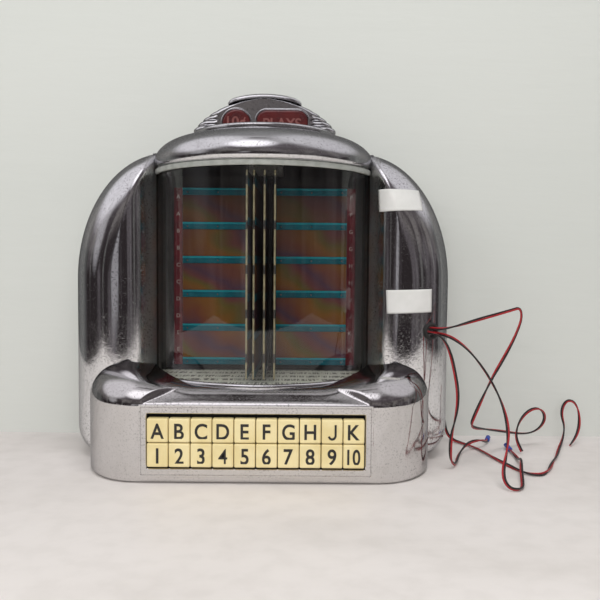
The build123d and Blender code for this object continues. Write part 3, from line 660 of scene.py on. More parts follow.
@dataclass
class Finishes:
    """All the finishes, made once and shared."""

    made: dict[str, Material] = field(default_factory=dict)

    def __post_init__(self) -> None:
        """Makes each material."""
        kinds = [
            # aged_chrome has painted shade, with grime, beside the window
            Chrome("aged_chrome", gloss=0.06, cloud=0.08, pits=0.8, grime_and_shade=True),
            Chrome("box_chrome", tint=(0.68, 0.665, 0.66), gloss=0.07, cloud=0.05, pits=0.45),
            Chrome("top_chrome", tint=(0.76, 0.76, 0.77), gloss=0.11, cloud=0.12, pits=0.55),
            Chrome("zinc_plate", tint=(0.55, 0.55, 0.53), gloss=0.34, cloud=0.12, pits=0.8),
            Moulding("ivory_key", (0.77, 0.65, 0.36), (0.71, 0.58, 0.29), 0.32, 60.0, grain=0.03, coat=0.2),
            Moulding("key_legend", (0.018, 0.016, 0.015), (0.03, 0.027, 0.025), 0.5, 200.0),
            Moulding("window_strip", (0.47, 0.48, 0.45), (0.38, 0.39, 0.36), 0.45, 160.0, metal=0.3),
            Moulding("dark_panel", (0.022, 0.020, 0.020), (0.035, 0.031, 0.029), 0.45, 120.0),
            Moulding("teal_bar", (0.003, 0.085, 0.115), (0.005, 0.11, 0.145), 0.3, 140.0, shine=0.15),
            # a lighter teal: the painted highlight on the bars' upper edges, and the teal rim of the leaves
            Moulding("teal_rim_and_highlight", (0.012, 0.23, 0.28), (0.02, 0.27, 0.32), 0.3, 140.0, shine=0.15),
            Moulding("index_red", (0.12, 0.008, 0.014), (0.08, 0.006, 0.010), 0.4, 160.0, shine=0.15),
            Moulding("white_letter", (0.30, 0.22, 0.20), (0.24, 0.17, 0.16), 0.5, 160.0),
            Moulding("cream_edge", (0.24, 0.205, 0.125), (0.17, 0.142, 0.085), 0.38, 240.0),
            Moulding("red_lens", (0.085, 0.012, 0.012), (0.055, 0.008, 0.009), 0.16, 120.0, coat=0.6),
            Moulding("pale_legend", (0.19, 0.060, 0.055), (0.15, 0.05, 0.045), 0.5, 160.0),
            Moulding("black_plastic", (0.012, 0.012, 0.012), (0.02, 0.02, 0.02), 0.5, 120.0),
            Moulding("paper_label", (0.66, 0.645, 0.63), (0.61, 0.60, 0.58), 0.7, 60.0, grain=0.08),
            Moulding("phenolic", (0.16, 0.07, 0.025), (0.22, 0.10, 0.035), 0.45, 90.0),
            Moulding("dark_steel", (0.10, 0.10, 0.11), (0.15, 0.15, 0.15), 0.38, 90.0, metal=0.8),
            Moulding("bulb_glass", (0.80, 0.76, 0.62), (0.74, 0.70, 0.55), 0.12, 90.0, coat=0.5),
            Moulding("rubber", (0.018, 0.017, 0.017), (0.03, 0.028, 0.027), 0.62, 220.0, grain=0.15),
            Moulding("red_wire", (0.35, 0.018, 0.022), (0.27, 0.012, 0.018), 0.36, 260.0, coat=0.15),
            Moulding("black_wire", (0.012, 0.011, 0.011), (0.022, 0.02, 0.02), 0.38, 260.0, coat=0.15),
            Moulding("blue_crimp", (0.02, 0.045, 0.30), (0.03, 0.07, 0.38), 0.3, 160.0, coat=0.2),
            TitleField("title_field"),
            Print("printed_card"),
            Pane("window_pane"),
        ]
        for kind in kinds:
            self.made[kind.name] = kind.material()

    def __getitem__(self, name: str) -> Material:
        """The material of that name."""
        return self.made[name]

    def paint(self, node: str, name: str) -> None:
        """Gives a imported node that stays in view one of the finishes."""
        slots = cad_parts[node].data.materials
        slots.clear()
        slots.append(self[name])
        LOG.info("%s keeps its own shape, finished in %s", node, name)


def paint_nodes(**finishes: str) -> None:
    """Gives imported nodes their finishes, each given as node="finish"."""
    for node, name in finishes.items():
        FINISH.paint(node, name)


# ------------------------------------------------------------------ casting
@dataclass
class Casting:
    """The hollow die casting: two rolled pillars with elliptic shoulders, and the key box with its shelf."""

    half_width: float = 152.5
    depth: float = 90.0
    roll: float = 38.0
    foot_corner: float = 25.0
    foot_lift: float = 9.0
    shoulder_x: float = 79.0
    shoulder_z: float = 143.0
    shoulder_rise: float = 104.0
    inner_roll: float = 25.0
    window_half: float = 86.3
    well_radius: float = 91.8
    axis_depth: float = 39.5
    wall: float = 2.6
    box_half: float = 131.0
    box_depth: float = 144.5
    corner_x: float = 45.0
    corner_depth: float = 55.0
    box_roll: float = 25.0
    box_roll_deep: float = 44.0
    box_top: float = 80.0
    foot_roll: float = 4.0
    lip_z: float = 67.5
    shelf_z: float = 57.0
    shelf_slope: float = 0.95
    shelf_half: float = 82.0
    shelf_taper: float = 2.3
    swell_in: float = 45.0
    swell_out: float = 110.0
    shelf_bank: float = 1.9
    shelf_dish: float = 0.24
    shelf_run: float = 11.0
    opening: Triple = (77.7, 11.2, 50.8)
    foot_draw: float = 0.7
    climb: float = 84.2
    hidden: int = 4
    window_back: float = 22.0
    flank_depths: Triple = (2.0, 20.0, 36.0)
    roll_change: tuple[float, float] = (90.0, 124.0)
    shelf_soft: float = 2.4
    box_back: float = 60.0
    lip_foot: float = 60.0
    lip_end: tuple[float, float] = (121.0, 60.0)
    lip_share: float = 0.65
    lip_swing: float = 70.0

    def pillar_depth(self, x: Array, drawn: Array) -> Array:
        """The front surface's depth.

        The outer roll is a quarter circle in how far a point is drawn in from the outline, the inner roll one
        in x, and what both take off the full depth is joined as the fifth root of the sum of fifth powers.

        Args:
            x: distance from the middle.
            drawn: how far the point is drawn in from the outline.

        Returns:
            The depth at each point.
        """
        short = np.clip(self.roll - drawn, 0, self.roll)
        outer = self.roll - np.sqrt(self.roll**2 - short**2)
        near = np.clip(self.window_half + self.inner_roll - x, 0, self.inner_roll)
        inner = self.inner_roll - np.sqrt(self.inner_roll**2 - near**2)
        return self.depth - (outer**5 + inner**5) ** 0.2

    def outline(self, drawn: Array) -> tuple[Array, Array, int]:
        """Stations of the right half outline, each drawn in by the given amounts.

        From the middle of the foot the outline runs along the bottom, round the corner, up the flank and over
        the elliptic shoulder. Drawing in shortens the ellipse's axes and lifts the foot.

        Args:
            drawn: one row of amounts that the points are drawn in by.

        Returns:
            x and height, as stations by amounts, and the first station above the key box's inside.
        """
        share = drawn / self.roll
        half, lift = self.half_width - drawn, self.foot_lift * share
        corner = self.foot_corner * (1 - self.foot_draw * share)
        foot = half - corner
        along = np.linspace(0, 1, 10)[:, None]
        turn = np.radians(np.linspace(-90, 0, 14))[1:, None]
        up = steps((0, 0.2, 6), (0.2, 1, 26))[1:, None]
        climb = np.radians(np.linspace(0, self.climb, 64))[1:, None]
        low, high = lift + corner, self.shoulder_z
        xs = [foot * along, foot + corner * np.cos(turn), half + 0 * up]
        zs = [lift + 0 * along, low + corner * np.sin(turn), low + (high - low) * up]
        limit = self.half_width - self.shoulder_x - (self.window_half - self.shoulder_x) / np.cos(climb)
        held = np.minimum(drawn, limit)
        xs.append(self.shoulder_x + (self.half_width - self.shoulder_x - held) * np.cos(climb))
        zs.append(high + (self.shoulder_rise - held) * np.sin(climb))
        spread = [np.broadcast_to(part, (len(part), len(drawn))) for part in (*xs, *zs)]
        count = len(spread) // 2
        first = len(along) + len(turn) + self.hidden
        return np.concatenate(spread[:count]), np.concatenate(spread[count:]), first

    def pillars(self) -> Object:
        """Both pillars: flank, outer roll, narrow front, inner roll and the wall beside the window, which is
        finished dark as painted shade.
        """
        drawn = self.roll * (1 - np.cos(np.radians(np.linspace(0, 90, 34))))
        x, z, first = self.outline(drawn)
        depth = np.maximum(self.pillar_depth(x, drawn[None, :]), self.window_back)
        sides = np.broadcast_to(self.flank_depths, (len(x), 3))
        flank = np.stack([np.repeat(x[:, :1], 3, 1), sides, np.repeat(z[:, :1], 3, 1)], -1)
        shape = Shape().grid(np.concatenate([flank, np.stack([x, depth, z], -1)], 1))
        edge_x, edge_z, edge_depth = x[first:, -1:], z[first:, -1:], depth[first:, -1:]
        inward = np.radians(np.linspace(0, 90, 26))[None, :]
        reach = self.window_half + self.inner_roll * (1 - np.sin(inward))
        reach = np.concatenate([edge_x, np.minimum(reach, edge_x)], 1)
        slope = (edge_z - self.shoulder_z) / np.maximum(edge_x - self.shoulder_x, 1e-6)
        over = self.shoulder_z + slope * (reach - self.shoulder_x)
        height = np.where(edge_z > self.shoulder_z, over, edge_z)
        front = self.pillar_depth(reach, np.full_like(reach, self.roll))
        front[:, :1] = edge_depth
        front = np.minimum(front, np.maximum(edge_depth, self.window_back))
        shape.grid(np.stack([reach, front, height], -1))
        # the wall beside the window takes the dark finish, slot 1, as painted shade in the gap beside the
        # window
        back = np.linspace(0, 1, 5)[None, :]
        side = front[:, -1:] * (1 - back) + self.window_back * back
        across, up = (np.repeat(part[:, -1:], 5, 1) for part in (reach, height))
        shape.grid(np.stack([across, side, up], -1), mark=1)
        return shape.mirrored().build("pillars", [FINISH["aged_chrome"], FINISH["dark_panel"]], 40.0, 0.02)

    def inset(self, x: Array, depth: Array) -> Array:
        """How far points lie inside the key box's plan outline, whose front corners are ellipses."""
        across = np.abs(x) - self.box_half + self.corner_x
        ahead = depth - self.box_depth + self.corner_depth
        corner = ellipse_inset(across, ahead, (self.corner_x, self.corner_depth), self.corner_x - 0.1)
        found = np.where(across < 0, self.box_depth - depth, corner)
        return np.where((across >= 0) & (ahead < 0), self.box_half - np.abs(x), found)

    def crown(self, x: Array, depth: Array) -> Array:
        """The height of the key box's top.

        The outer roll is a quarter ellipse in the inset, which reaches further in at the front than at the
        sides. In the middle the top lies at the window's lip, and it swells up by a smooth step in x. What
        roll and lip take off is joined as the cube root of the sum of cubes. The sloping shelf with its banked
        ends, dished a little by a square law, then cuts both, with a softened edge.
        """
        reach = self.box_roll_deep + (self.box_roll - self.box_roll_deep) * ease(np.abs(x), *self.roll_change)
        short = np.clip(1 - self.inset(x, depth) / reach, 0, 1)
        roll = self.box_roll * (1 - np.sqrt(1 - short**2))
        lip = (self.box_top - self.lip_z) * (1 - ease(np.abs(x), self.swell_in, self.swell_out))
        top = self.box_top - (roll**3 + lip**3) ** (1 / 3)
        back = self.box_depth - depth
        bank = np.maximum(0, np.abs(x) - (self.shelf_half - self.shelf_taper * back))
        run = np.clip(back / self.shelf_run, 0, 1)
        dish = self.shelf_dish * 4 * run * (1 - run)
        shelf = self.shelf_z + self.shelf_slope * back + self.shelf_bank * bank - dish
        near = np.clip(self.shelf_soft - np.abs(top - shelf), 0, self.shelf_soft) / self.shelf_soft
        return np.minimum(top, shelf) - near**2 * self.shelf_soft / 4

    def plan(self, drawn: float) -> Array:
        """The right half of the key box's plan outline (x, depth) from the middle of the front, drawn in."""
        flat, turn_depth = self.box_half - self.corner_x, self.box_depth - self.corner_depth
        front = steps((0, self.opening[0], 112), (self.opening[0], flat, 13))
        corner = arc((flat, turn_depth), (self.corner_x - drawn, self.corner_depth - drawn), 90, 0, 80)[1:]
        side = np.linspace(turn_depth, self.box_back, 10)[1:]
        straight = np.stack([front, np.full_like(front, self.box_depth - drawn)], -1)
        flank = np.stack([np.full_like(side, self.box_half - drawn), side], -1)
        return np.concatenate([straight, corner, flank])

    def key_box(self) -> Object:
        """The key box: rolled foot, front wall with the key opening, crowned top, lip under the window."""
        rows = []
        for turn in np.radians(np.linspace(90, 0, 9)):
            drawn, height = (self.foot_roll * (1 - share(turn)) for share in (math.cos, math.sin))
            rows.append(level(self.plan(drawn), height))
        outline = self.plan(0.0)
        ends, low, high = self.opening
        heights = steps((self.foot_roll, low, 3), (low, high, 14), (high, self.box_top - self.box_roll, 4))
        rows += [level(outline, height) for height in heights[1:]]
        walls = len(rows)
        share = np.concatenate([[0], np.cumsum(np.hypot(*np.diff(outline, axis=0).T))])
        share /= share[-1]
        swing = np.radians(self.lip_swing * np.minimum(share / self.lip_share, 1))
        lip = self.well_radius * np.stack([np.sin(swing), np.cos(swing)], -1) + (0, self.axis_depth)
        beyond = np.clip((share - self.lip_share) / (1 - self.lip_share), 0, 1)[:, None]
        lip = lip + beyond * (np.array(self.lip_end) - lip[-1])
        for part in (1 - np.cos(np.linspace(0, np.pi / 2, 46)))[1:]:
            spot = outline + part * (lip - outline)
            rows.append(np.column_stack([spot, self.crown(*spot.T)]))
        rows.append(level(lip, self.lip_foot))
        half = np.array(rows)
        whole = np.concatenate([half[:, :0:-1] * MIRROR, half], 1)
        x, z = whole[0, :, 0], whole[:, 0, 2]
        middle_x, middle_z = np.abs(x[1:] + x[:-1])[None, :] / 2, (z[1:] + z[:-1])[:, None] / 2
        front = np.arange(len(whole) - 1)[:, None] < walls
        hole = front & (middle_x < ends) & (middle_z > low) & (middle_z < high)
        shape = Shape().grid(whole, keep=~hole)
        shape.faces.append(list(range(len(x))))
        shape.marks.append(0)
        return shape.build("key_box", [FINISH["box_chrome"]], 34.0, 0.01)

    def build(self) -> None:
        """Makes the two pieces of the casting."""
        sheets = [(self.pillars(), (0, -1, 0)), (self.key_box(), (0, -1, 0.2))]
        for piece in [thicken(sheet, self.wall, out) for sheet, out in sheets]:
            finish_piece(settle(piece), HOUSING, "chrome", "front_housing")
        paint_nodes(back_plate="zinc_plate", housing_screws="zinc_plate")


# ------------------------------------------------------------------ top
@dataclass
class Top:
    """The hood, the page dial, the fluted coin head with its lenses, and the coin entry cap."""

    axis_depth: float = 39.5
    back_clear: float = 2.0
    lining_clear: float = 4.5
    hood_radius: float = 91.0
    hood_axis: float = 43.5
    hood_flat: float = 57.0
    hood_centre: float = 30.0
    hood_low: float = 232.2
    hood_mid: float = 237.0
    hood_top: float = 259.0
    hood_wall: float = 2.5
    hood_tuck: float = 3.2
    hood_lining: float = 5.6
    dial_arc: float = 75.0
    dial_middle: tuple[float, float] = (55.05, 262.05)
    collar_section: tuple[tuple[float, float], ...] = (
        (0.01, 265.1), (49.3, 265.1), (49.8, 264.6), (49.8, 258.9), (0.01, 258.9),
    )
    crest_half: float = 67.0
    crest_centre: float = 245.0
    crest_rise: float = 48.5
    crest_back: float = 8.0
    crest_front: float = 50.0
    crest_base: float = 265.3
    crest_steep: float = 290.0
    crest_top: float = 293.4
    crest_corner: float = 8.0
    foot_middle: float = 35.0
    foot_heights: Triple = (258.6, 262, 265.4)
    flutes: int = 5
    flute_pitch: float = 4.3
    flute_first: float = 266.2
    flute_deep: float = 1.7
    flute_fade: tuple[float, float] = (37.5, 42.5)
    cap_half: float = 30.0
    cap_deep: float = 22.0
    cap_middle: float = 30.0
    cap_groove: float = 0.7
    cap_nose: tuple[float, float] = (3.2, 2.7)
    cap_thin: float = 0.55
    cap_narrow: float = 0.2
    slot_depth: float = 14.0
    lens_z: float = 272.4
    lens_back: float = 46.8
    lens_front: float = 50.6
    lens_edge: float = 2.4
    lens_crown: float = 0.5

    def hood(self) -> Object:
        """A closed section turned round the hood's axis, held forward of the back plate.

        The section runs over the elliptic roll, tucks under at its foot and returns along the wall's inside.
        """
        flat, mid, ceiling = self.hood_flat, self.hood_mid, self.hood_top - self.hood_wall
        edge, lining = self.hood_radius - self.hood_tuck, self.hood_radius - self.hood_lining
        top = [[0, self.hood_top], [self.hood_centre, self.hood_top]]
        roll = arc((flat, mid), (self.hood_radius - flat, self.hood_top - mid), 90, 0, 30)
        tuck = arc((edge, mid), (self.hood_tuck, mid - self.hood_low), 0, -90, 9)[1:]
        inner = arc((flat, mid), (lining - flat, ceiling - mid), 0, 90, 16)
        profile = np.concatenate([top, roll, tuck, [[lining, self.hood_low]], inner, [[0, ceiling]]])
        ring = turned(profile, self.hood_axis, np.linspace(-180, 180, 193))
        outside = len(top) + len(roll) + len(tuck)
        ring[:, :outside, 1] = np.maximum(ring[:, :outside, 1], self.back_clear)
        ring[:, outside:, 1] = np.maximum(ring[:, outside:, 1], self.lining_clear)
        shape = Shape().grid(ring)
        marks = np.array(shape.marks).reshape(len(ring) - 1, -1)
        marks[:, outside:] = 1
        shape.marks = marks.ravel().tolist()
        return shape.build("hood_shell", [FINISH["top_chrome"], FINISH["dark_panel"]], 40.0, 0.02)

    def sector(self, name: str, section: Array, half_arc: float, finish: str, count: int = 97) -> Object:
        """A closed section (radius, height) carried over an arc about the window's axis, with filled ends."""
        ring = turned(section, self.axis_depth, np.linspace(-half_arc, half_arc, count))
        return Shape().tube(ring).build(name, [FINISH[finish]])

    def crest_half_at(self, height: Array) -> Array:
        """Half the crest's width at a height: the chord of its ellipse."""
        rise = (height - self.crest_centre) / self.crest_rise
        return self.crest_half * np.sqrt(np.clip(1 - rise**2, 0, 1))

    def crest(self) -> Object:
        """The coin head: round-cornered level sections that follow the ellipse, with ribs beside the lenses.

        A section is laid side by side: the front, the right, the back and the left, each a straight run and
        the round corner after it, with its normals. A rib is the square root of a sine of the height, fades in
        towards the ends, and pushes the section outwards along its own normal.
        """
        middle, deep = (self.crest_back + self.crest_front) / 2, (self.crest_front - self.crest_back) / 2
        turn = np.radians(np.linspace(0, 90, 12))[1:-1, None]
        rows = []
        for height in steps((self.crest_base, self.crest_steep, 120), (self.crest_steep, self.crest_top, 10)):
            wide = float(self.crest_half_at(height))
            corner = min(self.crest_corner, wide * 0.8)
            front = np.linspace(corner - wide, wide - corner, 90)[:, None]
            side = np.linspace(corner - deep, deep - corner, 6)[:, None]
            row = []
            for way in ((0, 1), (1, 0), (0, -1), (-1, 0)):
                out, onward = np.array(way, float), np.array([way[1], -way[0]], float)
                reach, run = (deep, front) if way[1] else (wide, side)
                normal = np.cos(turn) * out + np.sin(turn) * onward
                row.append(np.hstack([out * reach + onward * run, np.broadcast_to(out, (len(run), 2))]))
                row.append(np.hstack([out * (reach - corner) + onward * run[-1] + corner * normal, normal]))
            x, depth, *normals = np.concatenate(row).T
            rows.append(np.stack([x, depth + middle, np.full_like(x, height), *normals], -1))
        grid = np.array(rows)
        beside = ease(np.abs(grid[..., 0]), *self.flute_fade)
        rise = np.clip((grid[..., 2] - self.flute_first) / self.flute_pitch, 0, self.flutes)
        rib = self.flute_deep * beside * (np.sqrt(np.abs(np.sin(np.pi * rise))) - 1)
        points = grid[..., :3].copy()
        points[..., :2] += rib[..., None] * grid[..., 3:]
        foot = round_rectangle(40.0, 15.0, 3.0) + (0, self.foot_middle)
        shape = Shape().tube(points).prism(foot, self.foot_heights)
        return shape.build("crest", [FINISH["top_chrome"]], 50.0)

    def cap(self) -> Object:
        """The coin entry cap: a grooved slab carried along the crest's ellipse, with thin narrow ends."""
        across = np.linspace(-self.cap_half, self.cap_half, 49)
        crown = self.crest_centre + self.crest_rise * np.sqrt(1 - (across / self.crest_half) ** 2)
        steep = (crown - self.crest_centre) / self.crest_rise**2
        lean = unit(np.stack([across / self.crest_half**2, steep], -1))
        half, inner = self.cap_deep, self.cap_deep - self.cap_groove
        nose = arc((half - self.cap_nose[0], 0.8), self.cap_nose, 0, 90, 9)
        side = [(half, -0.4), (inner, -0.1), (inner, 0.4), *map(tuple, nose)]
        section = np.array(side + [(-d, h) for d, h in side[::-1]])
        end = np.abs(across / self.cap_half)[:, None]
        lift = section[:, 1] * (1 - self.cap_thin * end**14)
        depth = self.cap_middle + section[:, 0] * (1 - self.cap_narrow * end**9)
        x, z = across[:, None] + lean[:, :1] * lift, crown[:, None] + lean[:, 1:] * lift
        piece = Shape().tube(np.stack([x, depth, z], -1)).build("coin_cap", [FINISH["top_chrome"]], 24.0)
        slot = round_rectangle(12.75, 1.2, 0.5, 3) + (0, self.slot_depth)
        tool = Shape().prism(slot, (285.0, 300.0)).build("slot_tool", [FINISH["black_plastic"]])
        cut = piece.modifiers.new("slot", "BOOLEAN")
        cut.object, cut.operation, cut.solver = tool, "DIFFERENCE", "EXACT"
        settle(piece)
        bpy.data.objects.remove(tool)
        return piece

    def lens(self, name: str, loop: Callable[[float], Array], middle: tuple[float, float]) -> Object:
        """A lens: rings of its outline drawn in, standing out as a quarter ellipse, closed back and front."""
        rings = [on_front(loop(0.0), depth, middle) for depth in (self.lens_back, self.lens_front)]
        for turn in np.radians(np.linspace(0, 90, 7))[1:]:
            drawn = self.lens_edge * (1 - math.cos(turn))
            rings.append(on_front(loop(drawn), self.lens_front + math.sin(turn), middle))
        for share in (0.35, 0.65, 0.85):
            depth = self.lens_front + 1.0 + self.lens_crown * (1 - (1 - share) ** 2)
            rings.append(on_front(loop(self.lens_edge) * (1 - share), depth, middle))
        return Shape().tube(rings).build(name, [FINISH["red_lens"], FINISH["pale_legend"]], 30.0)

    def surround(self, name: str, loop: Callable[[float], Array], middle: tuple[float, float]) -> Object:
        """A raised chrome moulding round a lens: a half round section on the outline."""
        turns = np.radians(np.linspace(0, 360, 13))[:-1]
        rings = [on_front(loop(0.95 * math.cos(t) - 1.0), 50.2 + 1.1 * math.sin(t), middle) for t in turns]
        return Shape().grid(np.array(rings + rings[:1]), wrap=True).build(name, [FINISH["top_chrome"]], 60.0)

    def build(self) -> None:
        """Makes every piece of the top."""
        finish_piece(self.hood(), HOUSING, "chrome", "hood")
        band = round_rectangle(4.9, 2.65, 2.2, 8) + self.dial_middle
        dial = self.sector("dial_band", band, self.dial_arc, "top_chrome")
        finish_piece(dial, "page_dial", "chrome", "page_dial")
        ring = turned(np.array(self.collar_section), self.axis_depth, np.linspace(-180, 180, 97))
        ring[..., 1] = np.maximum(ring[..., 1], self.back_clear)
        collar = Shape().grid(ring).build("dial_collar", [FINISH["top_chrome"]])
        finish_piece(collar, HOUSING, "chrome", "hood")
        finish_piece(self.crest(), HOUSING, "chrome", "coin_head")
        finish_piece(self.cap(), HOUSING, "chrome", "coin_entry_cap")
        small = lambda drawn: circle(11.3 - drawn, 48)
        large = lambda drawn: round_rectangle(20.95 - drawn, 10.8 - drawn, 8.5 - min(drawn, 6.0), 9)
        for name, loop, x, text, size, node in (
            ("round_lens", small, -23.0, "10¢", 8.6, "round_red_lens"),
            ("long_lens", large, 14.7, "PLAYS", 8.2, "long_red_lens"),
        ):
            lens = self.lens(name, loop, (x, self.lens_z))
            words = lettering(text, size, (x, self.lens_front + 1.55, self.lens_z), 0.3, 0.25)
            finish_piece(join(lens, words), HOUSING, "red_lens", node)
            surround = self.surround(name + "_ring", loop, (x, self.lens_z))
            finish_piece(surround, HOUSING, "chrome", "coin_head")


def lettering(text: str, size: float, centre: Triple, thickness: float, weight: float = 0.0) -> Object:
    """Upright words as a mesh that faces the front.

    Args:
        text: the words.
        size: the height of a capital, roughly, in millimetres.
        centre: the middle of the words as x, depth of their face, and height.
        thickness: how thick the letters are.
        weight: how much the strokes are swollen, in millimetres.

    Returns:
        An object whose mesh lies in place.
    """
    if text == "J":
        return hook(size, centre, thickness)
    curve = bpy.data.curves.new("words", "FONT")
    curve.body = text
    curve.align_x, curve.align_y = "CENTER", "CENTER"
    curve.size = size * MM / 0.7
    curve.extrude = thickness * MM / 2
    curve.offset = weight * MM
    curve.resolution_u = 5
    holder = link(bpy.data.objects.new("words", curve))
    mesh = as_mesh(holder)
    bpy.data.objects.remove(holder)
    flat = read_points(mesh)
    flat[:, :2] -= (flat[:, :2].min(0) + flat[:, :2].max(0)) / 2
    x, depth, height = centre
    front = (HALF_DEPTH - depth + thickness / 2) * MM
    write_points(mesh, np.stack([flat[:, 0] + x * MM, front - flat[:, 2], flat[:, 1] + height * MM], -1))
    mesh.materials.clear()
    mesh.polygons.foreach_set("material_index", np.full(len(mesh.polygons), LEGEND, np.int32))
    return link(bpy.data.objects.new("words", mesh))


def hook(size: float, centre: Triple, thickness: float) -> Object:
    """The letter J: a stroke of even width that runs down and round a part circle to the left.

    Its arguments are those of lettering().
    """
    bend, stroke = size * 0.25, size * 0.15
    foot = arc((0, -size / 2 + bend + stroke / 2), (bend, bend), 0, -165, 17)
    line = np.concatenate([[(bend, size / 2), (bend, 0.0)], foot])
    along = unit(np.gradient(line, axis=0))
    across = np.stack([along[:, 1], -along[:, 0]], -1) * stroke / 2
    x, depth, height = centre
    corners = [(1, 0.5), (-1, 0.5), (-1, -0.5), (1, -0.5)]
    rings = [on_front(line + side * across, depth + out * thickness, (x, height)) for side, out in corners]
    return Shape().tube(np.stack(rings, 1), LEGEND).build("words", [])


def join(first: Object, *others: Object) -> Object:
    """Joins meshes into the first one, whose material slots they share by number, and returns it."""
    work = bmesh.new()
    work.from_mesh(first.data)
    for other in others:
        work.from_mesh(other.data)
        bpy.data.objects.remove(other)
    work.to_mesh(first.data)
    work.free()
    return first


# ------------------------------------------------------------------ window and title pages
@dataclass
class Window:
    """The curved glass with its strips, the title panels behind it and the leaves that swing between them."""

    axis_depth: float = 39.5
    glass_out: float = 89.0
    glass_in: float = 86.5
    floor_z: float = 65.0
    glass_top: float = 234.5
    panel_front: float = 35.0
    panel_in: float = 10.0
    panel_out: float = 77.0
    panel_low: float = 70.5
    bars: int = 6
    bar_pitch: float = 28.9
    bar_height: float = 6.0
    bar_thick: float = 1.2
    index_width: float = 7.0
    leaf_pitch: float = 5.0
    leaf_reach: float = 78.0
    leaf_thick: float = 1.5
    leaf_low: float = 71.0
    leaf_high: float = 226.0
    leaf_tilts: tuple[float, ...] = (-1.3, -1.1, 1.0, 3.0)
    glass_arc: float = 75.1
    strip_arc: float = 70.2
    strip_gap: float = 0.3
    letter_rise: float = 7.0
    notch_first: float = 12.5
    notch_pitch: float = 33.0
    notch_high: float = 6.5
    pin_radius: float = 1.3
    pin_neck: float = 0.9
    pin_reach: float = 3.0

    def section(self, low: float, high: float, inner: float, outer: float, corner: float) -> Array:
        """A rounded rectangle (radius, height) between two radii and two heights."""
        loop = round_rectangle((outer - inner) / 2, (high - low) / 2, corner, 5)
        return loop + np.array([(outer + inner) / 2, (high + low) / 2])

    def glass_pieces(self) -> None:
        """The glass, and the strips over and under it."""
        top = Top()
        section = self.section(self.floor_z, self.glass_top, self.glass_in, self.glass_out, 0.3)
        glass = top.sector("glass", section, self.glass_arc, "window_pane", 145)
        finish_piece(glass, HOUSING, "glass", "window_glass")
        for name, strip, finish in (
            ("upper_strip", self.section(228.0, 232.1, 89.3, 91.4, 0.7), "window_strip"),
            ("lower_strip", self.section(64.4, 69.6, 89.3, 93.6, 2.0), "top_chrome"),
        ):
            finish_piece(top.sector(name, strip, self.strip_arc, finish), HOUSING, "strip", "window_trims")

    def bar_z(self, row: int) -> float:
        """The middle height of a row's bar."""
        return self.panel_low + self.bar_height / 2 + row * self.bar_pitch

    def bar(self, left: float, right: float, middle: float) -> Array:
        """A title bar: a section (depth, height) with a raised upper edge, carried from left to right."""
        low, high = middle - self.bar_height / 2, middle + self.bar_height / 2
        front = self.panel_front
        foot = [(0, low), (0.8, low), (1.0, low + 0.4), (0.9, high - 1.7)]
        edge = [(1.5, high - 1.3), (1.5, high - 0.4), (1.1, high), (0, high)]
        return np.array([[(x, front + d, z) for d, z in foot + edge] for x in (left, right)])

    def dome(self, x: float, depth: float, z: float, radius: float) -> Array:
        """A low rivet head: rings whose radius and height follow a quarter circle."""
        rings = arc((0, 0), (radius, radius), 0, 80, 5)
        return np.array([on_front(circle(wide, 10), depth + 0.5 * rise, (x, z)) for wide, rise in rings])

    def pages(self) -> None:
        """The bars with their rivets, the cards, the lettered red index strips, and the panels behind."""
        card_out = self.panel_out - self.index_width - self.strip_gap
        shape = Shape()
        for hand in (-1, 1):
            left, right = sorted((hand * self.panel_in, hand * card_out))
            for row in range(self.bars):
                z = self.bar_z(row)
                shape.tube(self.bar(left, right, z))
                # the raised upper edge gets the lighter teal as a painted highlight
                shape.marks[-7:-3] = [1] * 4
                for x in (left + 4, (left + right) / 2, right - 4):
                    shape.tube(self.dome(x, self.panel_front + 0.9, z - 0.6, 0.85), 2)
        finishes = [FINISH["teal_bar"], FINISH["teal_rim_and_highlight"], FINISH["dark_steel"]]
        finish_piece(shape.build("bars", finishes, 20.0), HOUSING, "teal_bar", "title_bars")
        paint_nodes(
            title_cards="title_field", title_panels="dark_panel", page_frame="dark_panel",
            leaf_hinges="black_plastic", floor_card="printed_card",
        )
        height = (self.bars - 1) * self.bar_pitch + self.bar_height
        strips, letters = Shape(), []
        for hand, names in ((-1, "EDCBA"), (1, "KJHGF")):
            x = hand * (self.panel_out - self.index_width / 2)
            loop = round_rectangle(self.index_width / 2, height / 2, 0.3, 3)
            depths = (self.panel_front, self.panel_front + 0.4)
            strips.tube([on_front(loop, depth, (x, self.panel_low + height / 2)) for depth in depths])
            for row in range(10):
                z = self.panel_low + self.bar_height + self.letter_rise + row * self.bar_pitch / 2
                letters.append(lettering(names[row // 2], 3.2, (x, self.panel_front + 0.5, z), 0.1, 0.1))
        strip = join(strips.build("index_columns", [FINISH["index_red"], FINISH["white_letter"]]), *letters)
        finish_piece(strip, HOUSING, "index_red", "index_strips")

    def leaf(self, number: int) -> None:
        """One leaf: a core with a notched cream edge, its pin, and bars and cards on both sides.

        Everything is laid out along the leaf, across it and up, then turned about its pin.
        """
        core, edge, bar, card, rim = range(5)
        names = ("dark_panel", "cream_edge", "teal_bar", "title_field", "teal_rim_and_highlight")
        reach, low, high = self.leaf_reach, self.leaf_low, self.leaf_high
        shape = Shape()

        def slab(
            start: float, end: float, thick: float, heights: tuple[float, float], mark: int, off: float = 0.0
        ) -> None:
            """Adds a rounded slab from start to end along the leaf."""
            loop = round_rectangle((end - start) / 2, thick / 2, thick * 0.35, 4) + ((start + end) / 2, off)
            shape.prism(loop, heights, mark)

